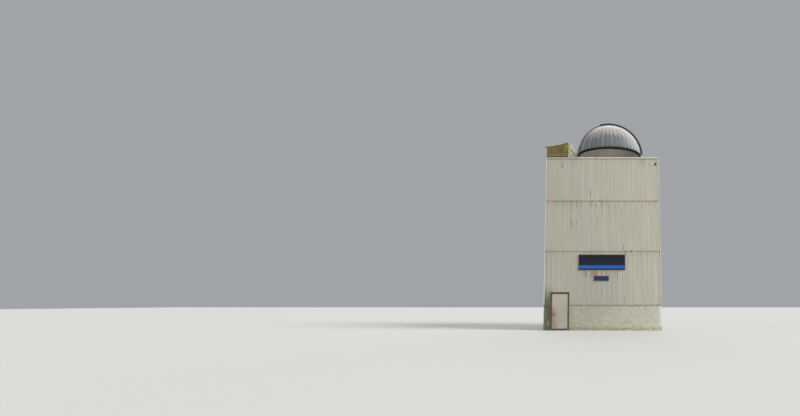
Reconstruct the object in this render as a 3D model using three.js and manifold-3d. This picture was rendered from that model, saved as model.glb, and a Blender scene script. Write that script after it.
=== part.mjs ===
// Observatory tower: a square tower with ribbed siding, a stair head on its roof, and a
// round dome with an up-and-over shutter, a drop-down lower shutter and a telescope.
// Units are millimetres, +Z is up, the front faces -Y, and the origin is on the ground
// under the middle of the tower.

import * as THREE from 'three';
import { mergeVertices } from 'three/addons/utils/BufferGeometryUtils.js';
import Module from 'manifold-3d';

const wasm = await Module();
wasm.setup();

// Running clearances between pieces that are cut, curved or turn
const SEAT = 0.3;
const RUNNING = 0.5;

// Tower plan and levels
const HALF = 3500;
const RIB = 20;
const WALL_FACE = HALF - RIB;
const SIDING = 130;
const BASE_THICK = 200;
const FLOOR = 50;
const BASE_TOP = 1450;
const SIDING_TOP = 10420;
const COPING_TOP = 10500;
const COPING_OVERHANG = 5;
const COPING_WIDTH = 175;
const DECK_TOP = 10300;
const DECK_THICK = 150;

// Entrance door in the front wall
const DOOR = { left: -2983, right: -2075, bottom: 60, top: 2095, front: -3495, thick: 45 };
const DOORWAY = { left: -3095, right: -1970, top: 2195 };
const JAMB = { left: -2990, right: -2070, head: 2100, front: -3500, back: -3330 };
const STOP = { width: 15, front: -3440 };
const DOOR_HINGE = { x: -2070, y: -3510, radius: 7, half: 50, heights: [300, 1100, 1900] };
const LEVER = { x: -2920, z: 920, length: 120, reach: 60 };

// Boards on the front wall, as centre x, width, bottom, top and thickness
const NAME_BOARD = { x: -50, width: 2770, bottom: 3530, top: 4430, thick: 40 };
const SMALL_BOARD = { x: -80, width: 875, bottom: 2890, top: 3160, thick: 25 };
const BATTEN = { width: 40, inset: 0.3 };

// Stair head on the front left corner of the roof
const STAIR_WALL = 60;
const STAIR_BACK = -2400;
const STAIR_EAVE = { x: -HALF, z: 11150 };
const STAIR_RIDGE = { x: -2100, z: 11410 };
const STAIR_KNEE = { x: -1640, z: 10715 };
const STAIR_ROOF_THICK = 55;
const STAIR_OVERHANG = 20;
const EAVE_OVERHANG = 80;
const STAIRWELL = { left: -3300, right: -1710, front: -3300, back: -2470 };

// Drum wall, roller track and dome
const AXIS_X = 450;
const FACET = 9;
const DRUM = { outer: 2080, inner: 1960, top: 11480 };
const DRUM_DOOR = { from: 189, to: 207 };
const TRACK = { outer: 2090, inner: 1950, thick: 15, rollers: 12 };
const RING = { outer: 2175, inner: 1990, bottom: 11545, top: 11580 };

// The dome is a little less than half a sphere: its centre lies below the ring it stands on
const DOME_Z = 11480;
const SPRINGING = RING.top + SEAT - DOME_Z;
const DOME = { outer: 2200, inner: 2150 };
const SLIT_TURN = THREE.MathUtils.degToRad(9);
const SLIT = { half: 525, beam: 110, beamInner: 2030, beamOuter: 2175 };
const REAR_PANEL = { inner: 2100, outer: 2140, from: 105 };
const SHUTTER = { inner: 2185, outer: 2225, half: 660, flange: 15, flangeInner: 2120 };
const UPPER = { from: 31.5, to: 109, facets: 18 };
const LOWER = { from: 4.1, to: 31, facets: 7 };
const LOWER_HINGE = { radius: 2210, rise: 115, pin: 14 };

// Telescope: latitude of the polar axis and the point where both axes cross
const LATITUDE = THREE.MathUtils.degToRad(41);
const AXES_CROSS = new THREE.Vector3(650, 0, 12000);
const PIER = { radius: 135, top: 11550, flange: 200, plate: 160 };
const POLAR = { radius: 100, from: -420, to: -115 };
const DEC = { radius: 75, bottom: -140, top: 150 };
const TUBE = { radius: 205, ring: 212, from: -370, to: 420, offset: 420, ringLength: 60 };
const REAR_CELL = { radius: 70, back: -430, camera: 45, cameraBack: -520 };
const GUIDE = { radius: 55, shield: 68, focuser: 36, from: -340, to: 520, offset: 722 };

// Furniture of the dome room, measured from the dome's axis
const CABINET = { left: -1080, right: 900, front: 1100, back: 1600, top: 11210, bays: 2 };
const SHELF = { bottom: DECK_TOP + 70, top: DECK_TOP + 400, depth: 420, side: 20 };
const COUNTER_THICK = 40;
const DESK = { left: -1600, right: -1100, front: -100, back: 1050, top: 11150, thick: 40 };
const PEDESTAL_WIDTH = 820;

// Finishes, one per material of the real building
const finish = (color, roughness, metalness) => (
  new THREE.MeshStandardMaterial({ color, roughness, metalness })
);
const siding = finish(0xb9b39c, 0.6, 0.1);
const concrete = finish(0xb4ae9a, 0.9, 0);
const trim = finish(0xd9d5c4, 0.6, 0.1);
const deckGrey = finish(0x8e8c84, 0.9, 0);
const frameBrown = finish(0x4a3a30, 0.6, 0.2);
const doorWhite = finish(0xd2d2cc, 0.5, 0.2);
const steel = finish(0x9a9c9e, 0.35, 0.9);
const moss = finish(0x7d7a55, 0.9, 0);
const galvanised = finish(0x8f969a, 0.45, 0.8);
const navy = finish(0x1d2740, 0.5, 0.2);
const boardNavy = finish(0x1f2c55, 0.4, 0.1);
const drumGrey = finish(0xa39c8c, 0.8, 0.1);
const black = finish(0x18181a, 0.5, 0.3);
const white = finish(0xdedede, 0.4, 0.2);
const tubeGreen = finish(0xb9bf9c, 0.35, 0.2);
const cabinetGrey = finish(0xb9b4aa, 0.5, 0.1);
const woodTop = finish(0x6b5a48, 0.6, 0);

// Basic shapes

function block(x0, x1, y0, y1, z0, z1) {
  const geometry = new THREE.BoxGeometry(x1 - x0, y1 - y0, z1 - z0);
  return geometry.translate((x0 + x1) / 2, (y0 + y1) / 2, (z0 + z1) / 2);
}

function extruded(points, depth) {
  const shape = new THREE.Shape(points.map(([x, y]) => new THREE.Vector2(x, y)));
  return new THREE.ExtrudeGeometry(shape, { depth, bevelEnabled: false });
}

// A plan outline of x, y points, raised from z0 to z1
function alongZ(points, z0, z1) {
  return extruded(points, z1 - z0).translate(0, 0, z0);
}

// A side outline of x, z points, run from y0 to y1
function alongY(points, y0, y1) {
  return extruded(points, y1 - y0).rotateX(Math.PI / 2).translate(0, y1, 0);
}

function polar(radius, degrees) {
  const angle = THREE.MathUtils.degToRad(degrees);
  return [radius * Math.cos(angle), radius * Math.sin(angle)];
}

// The outline of a piece of a flat ring between two angles
function sector(inner, outer, from, to, facets) {
  const angles = Array.from({ length: facets + 1 }, (_, i) => from + ((to - from) * i) / facets);
  const outside = angles.map((angle) => polar(outer, angle));
  const inside = angles.reverse().map((angle) => polar(inner, angle));
  return [...outside, ...inside];
}

// A profile of radius, height points turned about a vertical axis
function turned(profile, segments) {
  const points = profile.map(([radius, height]) => new THREE.Vector2(radius, height));
  return new THREE.LatheGeometry(points, segments).rotateX(Math.PI / 2);
}

function cylinderZ(radius, z0, z1, segments = 24) {
  return turned([[0, z0], [radius, z0], [radius, z1], [0, z1]], segments);
}

function ringZ(inner, outer, z0, z1, segments) {
  return turned([[inner, z0], [outer, z0], [outer, z1], [inner, z1], [inner, z0]], segments);
}

// Joins and cuts

function solidOf(geometry) {
  const bare = geometry.clone();
  bare.deleteAttribute('normal');
  bare.deleteAttribute('uv');
  const merged = mergeVertices(bare, 1e-4);
  const corners = merged.index.array;
  const triangles = [];
  for (let i = 0; i < corners.length; i += 3) {
    const [a, b, c] = [corners[i], corners[i + 1], corners[i + 2]];
    if (a !== b && b !== c && c !== a) triangles.push(a, b, c);
  }
  return new wasm.Manifold(new wasm.Mesh({
    numProp: 3,
    vertProperties: new Float32Array(merged.attributes.position.array),
    triVerts: new Uint32Array(triangles),
  }));
}

function geometryOf(solid) {
  const mesh = solid.getMesh();
  const geometry = new THREE.BufferGeometry();
  geometry.setAttribute('position', new THREE.BufferAttribute(mesh.vertProperties, 3));
  geometry.setIndex(new THREE.BufferAttribute(mesh.triVerts, 1));
  return geometry.toNonIndexed();
}

function join(...geometries) {
  const [first, ...rest] = geometries.map(solidOf);
  return geometryOf(rest.reduce((whole, next) => whole.add(next), first));
}

function cut(geometry, ...tools) {
  return geometryOf(tools.map(solidOf).reduce((left, tool) => left.subtract(tool), solidOf(geometry)));
}

function piece(name, geometry, material) {
  geometry.computeVertexNormals();
  const mesh = new THREE.Mesh(geometry, material);
  mesh.name = name;
  return mesh;
}

// Tower walls

function towerBase() {
  const out = WALL_FACE;
  const inside = out - BASE_THICK;
  return [
    piece('ground_slab', block(-inside, inside, -inside, inside, 0, FLOOR), concrete),
    piece('front_base_left', block(-out, DOORWAY.left, -out, -inside, 0, BASE_TOP), concrete),
    piece('front_base_right', block(DOORWAY.right, out, -out, -inside, 0, BASE_TOP), concrete),
    piece('left_base', block(-out, -inside, -inside, inside, 0, BASE_TOP), concrete),
    piece('right_base', block(inside, out, -inside, inside, 0, BASE_TOP), concrete),
    piece('back_base', block(-out, out, inside, out, 0, BASE_TOP), concrete),
  ];
}

// The siding's ribs stand RIB out from these walls' faces
function towerSiding() {
  const out = WALL_FACE;
  const inside = out - SIDING;
  const front = [-out, -inside];
  return [
    piece('front_siding_left', block(-out, DOORWAY.left, ...front, BASE_TOP, DOORWAY.top), siding),
    piece('front_siding_right', block(DOORWAY.right, out, ...front, BASE_TOP, DOORWAY.top), siding),
    piece('front_siding_upper', block(-out, out, ...front, DOORWAY.top, SIDING_TOP), siding),
    piece('left_siding', block(-out, -inside, -inside, inside, BASE_TOP, SIDING_TOP), siding),
    piece('right_siding', block(inside, out, -inside, inside, BASE_TOP, SIDING_TOP), siding),
    piece('back_siding', block(-out, out, inside, out, BASE_TOP, SIDING_TOP), siding),
  ];
}

function towerRoof() {
  const out = HALF + COPING_OVERHANG;
  const inside = out - COPING_WIDTH;
  const wall = WALL_FACE - SIDING;
  const coping = cut(
    block(-out, out, -out, out, SIDING_TOP, COPING_TOP),
    block(-inside, inside, -inside, inside, SIDING_TOP - 10, COPING_TOP + 10),
  );
  const { left, right, front, back } = STAIRWELL;
  const deck = cut(
    block(-wall, wall, -wall, wall, DECK_TOP - DECK_THICK, DECK_TOP),
    block(left, right, front, back, DECK_TOP - DECK_THICK - 10, DECK_TOP + 10),
  );
  return [piece('parapet_coping', coping, trim), piece('roof_deck', deck, deckGrey)];
}

// Entrance

// One half of a hinge: a barrel on the hinge line and a plate towards its own side
function doorKnuckle(z0, z1, plateX0, plateX1, plateBack) {
  const { x, y, radius } = DOOR_HINGE;
  const barrel = cylinderZ(radius, z0, z1, 16).translate(x, y, 0);
  return [barrel, block(plateX0, plateX1, y - 3, plateBack, z0, z1)];
}

function doorFrame() {
  const inside = -(WALL_FACE - BASE_THICK);
  const depth = [JAMB.front, JAMB.back];
  const stop = [STOP.front, JAMB.back];
  const knuckles = DOOR_HINGE.heights.flatMap((z) => (
    doorKnuckle(z - DOOR_HINGE.half, z - RUNNING / 2, DOOR_HINGE.x, DOOR_HINGE.x + 30, JAMB.front + 5)
  ));
  const frame = join(
    block(DOORWAY.left, DOORWAY.right, JAMB.front, inside, 0, FLOOR),
    block(DOORWAY.left, JAMB.left, ...depth, FLOOR - 5, DOORWAY.top),
    block(JAMB.right, DOORWAY.right, ...depth, FLOOR - 5, DOORWAY.top),
    block(DOORWAY.left, DOORWAY.right, ...depth, JAMB.head, DOORWAY.top),
    block(JAMB.left - 5, JAMB.left + STOP.width, ...stop, FLOOR - 5, JAMB.head + 5),
    block(JAMB.right - STOP.width, JAMB.right + 5, ...stop, FLOOR - 5, JAMB.head + 5),
    block(JAMB.left, JAMB.right, ...stop, JAMB.head - STOP.width, JAMB.head + 5),
    ...knuckles,
  );
  return [piece('door_frame', frame, frameBrown)];
}

function entranceDoor() {
  const { left, right, bottom, top, front, thick } = DOOR;
  const knuckles = DOOR_HINGE.heights.flatMap((z) => (
    doorKnuckle(z + RUNNING / 2, z + DOOR_HINGE.half, DOOR_HINGE.x - 30, DOOR_HINGE.x, front + 5)
  ));
  return piece('entrance_door', join(block(left, right, front, front + thick, bottom, top), ...knuckles), doorWhite);
}

function doorHandle() {
  const { x, z, length, reach } = LEVER;
  const face = DOOR.front - SEAT;
  const rose = cylinderZ(26, 0, 10).rotateX(Math.PI / 2).translate(x, face, z);
  const neck = cylinderZ(10, 5, reach - 5).rotateX(Math.PI / 2).translate(x, face, z);
  const lever = block(x - 14, x + length, face - reach, face - reach + 14, z - 11, z + 11);
  return piece('door_handle', join(rose, neck, lever), steel);
}

// A board lies on the crests of the ribs, and its two battens reach back to the wall
function board(name, { x, width, bottom, top, thick }) {
  const sheet = block(x - width / 2, x + width / 2, -HALF - thick, -HALF, bottom, top);
  const battens = [-1, 1].map((side) => {
    const middle = x + side * width * BATTEN.inset;
    const [z0, z1] = [bottom + BATTEN.width, top - BATTEN.width];
    return block(middle - BATTEN.width / 2, middle + BATTEN.width / 2, -HALF - thick / 2, -WALL_FACE, z0, z1);
  });
  return piece(name, join(sheet, ...battens), boardNavy);
}

// Stair head

// The point where the outer faces of the roof and the hatch meet over the ridge
function ridgeOutside() {
  const [eave, ridge, knee] = [STAIR_EAVE, STAIR_RIDGE, STAIR_KNEE].map((p) => new THREE.Vector2(p.x, p.z));
  const up = ridge.clone().sub(eave).normalize();
  const down = knee.clone().sub(ridge).normalize();
  const bisector = up.clone().sub(down).normalize();
  const normal = new THREE.Vector2(-up.y, up.x);
  return ridge.clone().addScaledVector(bisector, STAIR_ROOF_THICK / bisector.dot(normal));
}

function stairHead() {
  const { x: eaveX, z: eaveZ } = STAIR_EAVE;
  const { x: ridgeX, z: ridgeZ } = STAIR_RIDGE;
  const { x: kneeX, z: kneeZ } = STAIR_KNEE;
  const slope = new THREE.Vector2(ridgeX - eaveX, ridgeZ - eaveZ).normalize();
  const fall = new THREE.Vector2(kneeX - ridgeX, kneeZ - ridgeZ).normalize();
  const foot = COPING_TOP;
  const top = [[kneeX, kneeZ], [ridgeX, ridgeZ], [eaveX, eaveZ]];
  const copingInside = -(HALF + COPING_OVERHANG - COPING_WIDTH);
  const innerFront = -HALF + STAIR_WALL;
  const frontCheek = [[eaveX, foot], [kneeX, foot], ...top];
  const backCheek = [[copingInside, DECK_TOP], [kneeX, DECK_TOP], ...top, [eaveX, foot], [copingInside, foot]];
  const leftWall = [
    [eaveX, foot], [eaveX + STAIR_WALL, foot],
    [eaveX + STAIR_WALL, eaveZ + (STAIR_WALL * slope.y) / slope.x], [eaveX, eaveZ],
  ];
  const kerb = [
    [kneeX - STAIR_WALL, DECK_TOP], [kneeX, DECK_TOP],
    [kneeX, kneeZ], [kneeX - STAIR_WALL, kneeZ - (STAIR_WALL * fall.y) / fall.x],
  ];
  const shell = join(
    alongY(frontCheek, -HALF, innerFront),
    alongY(leftWall, innerFront - 5, STAIR_BACK),
    alongY(backCheek, STAIR_BACK - STAIR_WALL, STAIR_BACK),
    alongY(kerb, copingInside, STAIR_BACK),
    alongY([[kneeX - STAIR_WALL, foot], [kneeX, foot], ...kerb.slice(2)], innerFront - 5, copingInside + 5),
  );
  const outside = ridgeOutside();
  const across = [-HALF - STAIR_OVERHANG, STAIR_BACK + STAIR_OVERHANG];
  const lowEave = [eaveX - EAVE_OVERHANG, eaveZ - (EAVE_OVERHANG * slope.y) / slope.x];
  const roof = [
    lowEave,
    [ridgeX - SEAT, ridgeZ],
    [outside.x - SEAT, outside.y],
    [lowEave[0] - STAIR_ROOF_THICK * slope.y, lowEave[1] + STAIR_ROOF_THICK * slope.x],
  ];
  const hatch = [
    [ridgeX + SEAT, ridgeZ],
    [kneeX, kneeZ],
    [kneeX - STAIR_ROOF_THICK * fall.y, kneeZ + STAIR_ROOF_THICK * fall.x],
    [outside.x + SEAT, outside.y],
  ];
  return [
    piece('stair_head_shell', shell, moss),
    piece('stair_head_roof', alongY(roof, ...across).translate(0, 0, SEAT), trim),
    piece('stair_head_hatch', alongY(hatch, ...across).translate(SEAT, 0, SEAT), trim),
  ];
}

// Drum wall and roller track, standing on the roof deck round the dome's axis

function drumWalls() {
  const spans = { front: [DRUM_DOOR.to - 360, -63], right: [-63, 18], back: [18, 108], left: [108, DRUM_DOOR.from] };
  const gap = THREE.MathUtils.radToDeg(SEAT / DRUM.outer);
  const walls = Object.entries(spans).map(([name, [from, to]]) => {
    const outline = sector(DRUM.inner, DRUM.outer, from, to - gap, (to - from) / FACET);
    return piece(`drum_wall_${name}`, alongZ(outline, DECK_TOP, DRUM.top), drumGrey);
  });
  const door = sector(DRUM.inner + 30, DRUM.inner + 85, DRUM_DOOR.from + gap, DRUM_DOOR.to - gap, 1);
  return [...walls, piece('drum_door', alongZ(door, DECK_TOP, DRUM.top), doorWhite)];
}

function rollerTrack() {
  const top = DRUM.top + TRACK.thick;
  const turn = (2 * Math.PI) / TRACK.rollers;
  const rollers = Array.from({ length: TRACK.rollers }, (_, i) => (
    block(1985, 2055, -40, 40, top - 5, RING.bottom - RUNNING).rotateZ(turn * (i + 0.5))
  ));
  return piece('roller_track', join(ringZ(TRACK.inner, TRACK.outer, DRUM.top, top, 360 / FACET), ...rollers), steel);
}

// Dome

const REACH = 3000;

// What lies below the ring's top, to be cut from the shapes that stand on it
function belowSpringing() {
  return block(-REACH, REACH, -REACH, REACH, -REACH, SPRINGING);
}

// The whole ring of gores below the crown, with flat panels between its seams
function goreShell() {
  const steps = 10;
  const crown = 75;
  const arc = (radius) => Array.from({ length: steps + 1 }, (_, i) => polar(radius, (crown * i) / steps));
  const outside = arc(DOME.outer);
  return cut(turned([...outside, ...arc(DOME.inner).reverse(), outside[0]], 360 / FACET), belowSpringing());
}

function domeGores() {
  const shell = goreShell();
  const edge = SLIT.half + SLIT.beam + SEAT;
  const slit = block(-REACH, REACH, -edge, edge, 0, REACH);
  const cuts = [0, 63, 117, 180];
  const gap = 0.01;
  const groups = [];
  for (const side of [-1, 1]) {
    for (let i = 0; i < cuts.length - 1; i += 1) {
      const [from, to] = side > 0 ? [cuts[i], cuts[i + 1]] : [-cuts[i + 1], -cuts[i]];
      const sides = [from + gap, (from + to) / 2, to - gap].map((angle) => polar(REACH, angle));
      const wedge = alongZ([[0, 0], ...sides], 0, REACH);
      const gores = solidOf(shell).subtract(solidOf(slit)).intersect(solidOf(wedge));
      groups.push(piece(`dome_gores_${groups.length + 1}`, geometryOf(gores), galvanised));
    }
  }
  return groups;
}

function archBeams() {
  const outline = sector(SLIT.beamInner, SLIT.beamOuter, 0, 180, 40);
  const edge = SLIT.half + SLIT.beam;
  const beam = (y0, y1) => cut(alongY(outline, y0, y1), belowSpringing());
  return [
    piece('arch_beam_front', beam(-edge, -SLIT.half), galvanised),
    piece('arch_beam_back', beam(SLIT.half, edge), galvanised),
  ];
}

function rearPanel() {
  const outline = sector(REAR_PANEL.inner, REAR_PANEL.outer, REAR_PANEL.from, 180, 15);
  const edge = SLIT.half - SEAT;
  return piece('rear_panel', cut(alongY(outline, -edge, edge), belowSpringing()), galvanised);
}

// The sill under the slit, with two lugs that carry the lower shutter's hinge
function slitSill() {
  const { radius, rise, pin } = LOWER_HINGE;
  const edge = SLIT.half - SEAT;
  const lug = (y) => [
    block(radius - 85, radius, y - 20, y + 20, SPRINGING, rise + pin),
    cylinderZ(pin, y - 20, y + 20, 16).rotateX(-Math.PI / 2).translate(radius, 0, rise),
  ];
  const sill = block(radius - 125, radius - 40, -edge, edge, SPRINGING, SPRINGING + 45);
  return piece('slit_sill', join(sill, ...lug(-350), ...lug(350)), galvanised);
}

// A curved sheet of a shutter with a flange down each side
function shutterBand({ from, to, facets }) {
  const { inner, outer, half, flange, flangeInner } = SHUTTER;
  const sheet = sector(inner, outer, from, to, facets);
  const side = sector(flangeInner, outer, from, to, facets);
  return [
    alongY(sheet, -half, half),
    alongY(side, -half, -half + flange),
    alongY(side, half - flange, half),
  ];
}

// The upper shutter's shoes slide along the outer faces of the arch beams
function upperShutter() {
  const beamFace = SLIT.half + SLIT.beam + RUNNING;
  const flangeFace = SHUTTER.half - SHUTTER.flange + 5;
  const shoes = [40, 97].flatMap((angle) => {
    const outline = sector(SHUTTER.flangeInner + 5, SLIT.beamOuter - 5, angle, angle + 5, 1);
    return [alongY(outline, -flangeFace, -beamFace), alongY(outline, beamFace, flangeFace)];
  });
  return piece('upper_shutter', join(...shutterBand(UPPER), ...shoes), navy);
}

function shutterEndFrame() {
  const step = (UPPER.to - UPPER.from) / UPPER.facets;
  const outline = sector(SLIT.beamInner + 20, SHUTTER.inner - SEAT, UPPER.from, UPPER.from + step, 1);
  const edge = SLIT.half - 10;
  return piece('shutter_end_frame', alongY(outline, -edge, edge), galvanised);
}

function lowerShutter() {
  const { radius, rise, pin } = LOWER_HINGE;
  const foot = polar(SHUTTER.inner, LOWER.from)[1] + 5;
  const knuckle = (y) => [
    block(radius - 8, radius + 8, y - 30, y + 30, rise, foot),
    cylinderZ(pin, y - 30, y + 30, 16).rotateX(-Math.PI / 2).translate(radius, 0, rise),
  ];
  const apart = 350 - 20 - 30 - RUNNING;
  return piece('lower_shutter', join(...shutterBand(LOWER), ...knuckle(-apart), ...knuckle(apart)), navy);
}

function dome() {
  const ring = ringZ(RING.inner, RING.outer, RING.bottom, RING.top, 360 / FACET);
  const raised = new THREE.Group();
  raised.position.z = DOME_Z;
  raised.rotation.z = SLIT_TURN;
  raised.add(
    ...domeGores(),
    ...archBeams(),
    rearPanel(),
    slitSill(),
    upperShutter(),
    shutterEndFrame(),
    lowerShutter(),
  );
  return [piece('dome_base_ring', ring, galvanised), raised];
}

// Dome room

function pier() {
  const { radius, top, flange, plate } = PIER;
  const profile = [
    [0, DECK_TOP], [flange, DECK_TOP], [flange, DECK_TOP + 25], [radius, DECK_TOP + 25],
    [radius, top - 20], [plate, top - 20], [plate, top], [0, top],
  ];
  return piece('pier', turned(profile, 32), black);
}

// A cylinder along the polar axis, in the frame of the two telescope axes
function cylinderS(radius, from, to, segments = 32) {
  return cylinderZ(radius, from, to, segments).rotateY(Math.PI / 2);
}

function mountBase(polarFrame) {
  const housing = cylinderS(POLAR.radius, POLAR.from, POLAR.to).applyMatrix4(polarFrame.matrix);
  const plate = cylinderZ(150, PIER.top, PIER.top + 20, 32).translate(AXIS_X, 0, 0);
  const cheeks = [[330, 11560], [590, 11560], [590, 11865], [540, 11900], [333, 11724]];
  return piece('mount_base', join(plate, alongY(cheeks, -70, 70), housing), white);
}

function polarHead() {
  const housing = join(cylinderS(95, POLAR.to + RUNNING, -30), cylinderZ(DEC.radius, DEC.bottom, DEC.top, 32));
  const top = DEC.bottom - SEAT;
  const weights = turned([[0, -520], [25, -520], [25, -505], [90, -505], [90, -400], [20, -400], [20, top], [0, top]], 32);
  return [piece('dec_housing', housing, white), piece('counterweights', weights, steel)];
}

function telescope() {
  const { radius, ring, from, to, offset, ringLength } = TUBE;
  const flat = radius * Math.cos(Math.PI / 32);
  const hub = DEC.top + RUNNING;
  const cradle = (s) => block(s - 30, s + 30, -55, 55, 200, offset - flat - SEAT);
  const saddle = join(
    cylinderZ(DEC.radius, hub, 180, 32),
    block(-250, 250, -60, 60, 175, 205),
    cradle(-180),
    cradle(180),
  );
  const cell = REAR_CELL;
  const profile = [
    [0, cell.cameraBack], [cell.camera, cell.cameraBack], [cell.camera, cell.back], [cell.radius, cell.back],
    [cell.radius, from - 20], [ring - 40, from - 20], [ring, from + 20], [ring, from + ringLength],
    [radius, from + ringLength], [radius, to - ringLength], [ring, to - ringLength], [ring, to], [0, to],
  ];
  const layAlong = (geometry) => geometry.rotateZ(Math.PI / 32).rotateY(Math.PI / 2);
  const tube = layAlong(turned(profile, 32)).translate(0, 0, offset);
  const guide = GUIDE;
  const refractor = turned([
    [0, guide.from], [guide.focuser, guide.from], [guide.focuser, -210], [guide.radius, -190],
    [guide.radius, 290], [guide.shield, 290], [guide.shield, guide.to], [0, guide.to],
  ], 24).rotateY(Math.PI / 2).translate(0, 0, guide.offset);
  const clamp = (s) => block(s - 18, s + 18, -45, 45, offset + flat + SEAT, guide.offset);
  return [
    piece('saddle_plate', saddle, black),
    piece('main_tube', tube, tubeGreen),
    piece('guide_scope', join(refractor, clamp(-130), clamp(130)), white),
  ];
}

function counter() {
  const { left, right, front, back, top, bays } = CABINET;
  const bay = (right - left) / bays;
  const shelves = Array.from({ length: bays }, (_, i) => {
    const [x0, x1] = [left + i * bay + SHELF.side, left + (i + 1) * bay - SHELF.side];
    return block(x0, x1, front - 10, front + SHELF.depth, SHELF.bottom, SHELF.top);
  });
  const cabinet = cut(block(left, right, front, back, DECK_TOP, top), ...shelves);
  const slab = block(left - 10, right + 15, front - 15, back + 5, top, top + COUNTER_THICK);
  return [piece('counter_cabinet', cabinet, cabinetGrey), piece('counter_top', slab, woodTop)];
}

// The desk's top stands on a wide closed pedestal and runs on past it towards the counter
function desk() {
  const { left, right, front, back, top, thick } = DESK;
  const under = top - thick;
  const whole = join(
    block(left, right, front, back, under, top),
    block(left + 20, right - 20, front + 20, front + PEDESTAL_WIDTH, DECK_TOP, under + 5),
  );
  return piece('desk', whole, cabinetGrey);
}

// Assembly

const roundParts = new THREE.Group();
roundParts.position.x = AXIS_X;
roundParts.add(...drumWalls(), rollerTrack(), ...dome(), pier(), ...counter(), desk());

const telescopeAxes = new THREE.Group();
telescopeAxes.position.copy(AXES_CROSS);
telescopeAxes.rotation.y = -LATITUDE;
telescopeAxes.updateMatrix();
telescopeAxes.add(...polarHead(), ...telescope());

const tower = new THREE.Group();
tower.add(
  ...towerBase(),
  ...towerSiding(),
  ...towerRoof(),
  ...doorFrame(),
  entranceDoor(),
  doorHandle(),
  board('name_board', NAME_BOARD),
  board('small_board', SMALL_BOARD),
  ...stairHead(),
  roundParts,
  mountBase(telescopeAxes),
  telescopeAxes,
);

export default tower;
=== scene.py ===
# %% [markdown]
# # An observatory tower with a rotating dome
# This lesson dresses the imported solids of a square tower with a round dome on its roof. The solids stay
# where they are and say where every piece belongs. Each cell below adds one piece or one finish of the
# real building, from the ribbed walls up to the telescope under the dome.

import math

import bmesh
import bpy
from mathutils import Matrix, Vector


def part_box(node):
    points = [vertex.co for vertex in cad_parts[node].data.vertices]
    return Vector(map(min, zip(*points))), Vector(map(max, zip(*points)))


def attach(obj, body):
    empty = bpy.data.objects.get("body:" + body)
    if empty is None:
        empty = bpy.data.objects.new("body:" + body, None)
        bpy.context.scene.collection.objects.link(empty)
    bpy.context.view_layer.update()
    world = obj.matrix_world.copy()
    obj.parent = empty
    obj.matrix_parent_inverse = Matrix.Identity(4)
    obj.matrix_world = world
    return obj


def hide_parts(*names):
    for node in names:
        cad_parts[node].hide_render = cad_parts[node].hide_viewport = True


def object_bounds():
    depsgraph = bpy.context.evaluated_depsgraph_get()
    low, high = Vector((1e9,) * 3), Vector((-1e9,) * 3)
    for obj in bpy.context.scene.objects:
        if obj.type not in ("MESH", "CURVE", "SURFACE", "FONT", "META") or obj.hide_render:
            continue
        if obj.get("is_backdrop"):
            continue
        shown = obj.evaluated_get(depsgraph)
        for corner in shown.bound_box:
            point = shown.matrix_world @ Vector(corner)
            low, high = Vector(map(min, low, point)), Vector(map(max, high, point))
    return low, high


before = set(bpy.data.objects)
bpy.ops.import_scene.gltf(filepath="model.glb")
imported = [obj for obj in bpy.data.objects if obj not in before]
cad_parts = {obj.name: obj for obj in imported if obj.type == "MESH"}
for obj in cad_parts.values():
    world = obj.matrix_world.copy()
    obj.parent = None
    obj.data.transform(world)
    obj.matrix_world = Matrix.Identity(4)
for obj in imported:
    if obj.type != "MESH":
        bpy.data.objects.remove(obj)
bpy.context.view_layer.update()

# %% [markdown]
# ## Levels and centres
# The whole building is set out from a few levels and half widths, in metres. They repeat the sizes of the
# solids, so a sheet or a trim lands on the wall that carries it. The dome has a frame of its own: its axis
# stands 0.45 m right of the tower's middle, its slit is turned nine degrees, and the centre of its sphere
# lies a little below the ring that it stands on.

# %% Levels and centres
WALL = 3.480
CREST = 3.499
TIERS = (1.45, 4.65, 7.73, 10.42)
RIBS = 23
RIB_PITCH = 2 * WALL / RIBS
DOORWAY = (-3.11, -1.955)
DOOR_HEAD = 2.208
COPING = 3.505
COPING_TOP = 10.50
DECK = 10.30
DRUM_TOP = 11.480
AXIS_X = 0.45
RING_TOP = 0.1004
ALONG_X = Matrix.Rotation(math.pi / 2, 4, "Y")
AXIS = Matrix.Translation((AXIS_X, 0, 0))
DOME = Matrix.Translation((AXIS_X, 0, DRUM_TOP)) @ Matrix.Rotation(math.radians(9), 4, "Z")
AXES_CROSS = Matrix.Translation((0.65, 0, 12.0)) @ Matrix.Rotation(math.radians(-41), 4, "Y")
print("levels of the wall joints:", TIERS)

# %% [markdown]
# ## Shader maths as plain sums
# A weathered wall is a stack of simple masks: how far below a joint, how near an edge, how strong the
# noise is here. Wiring each sum by hand hides the idea, so a small class wraps a socket and lets Python's
# operators add the Math nodes. Every other node comes from one method that takes its type, its settings
# and its inputs. Colours are written as a painter's chart gives them, from 0 to 255, and made linear on
# their way into a colour socket.

# %% A socket that does sums
class Value:
    """A number, a vector or a colour at each point of a surface."""

    def __init__(self, finish, socket):
        self.finish = finish
        self.socket = socket

    def math(self, operation, *others):
        values = dict(enumerate((self, *others)))
        return self.finish.node("Math", {"operation": operation}, values)

    def __add__(self, other):
        return self.math("ADD", other)

    __radd__ = __add__

    def __sub__(self, other):
        return self.math("SUBTRACT", other)

    def __rsub__(self, other):
        return self * -1 + other

    def __mul__(self, other):
        return self.math("MULTIPLY", other)

    __rmul__ = __mul__

    def __truediv__(self, other):
        return self.math("DIVIDE", other)

    def __abs__(self):
        return self.math("ABSOLUTE")

    def within(self, low, high):
        """0 at low, 1 at high, and a straight line between them."""
        inputs = {"Value": self, "From Min": low, "From Max": high}
        return self.finish.node("MapRange", {"clamp": True}, inputs)


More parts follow.
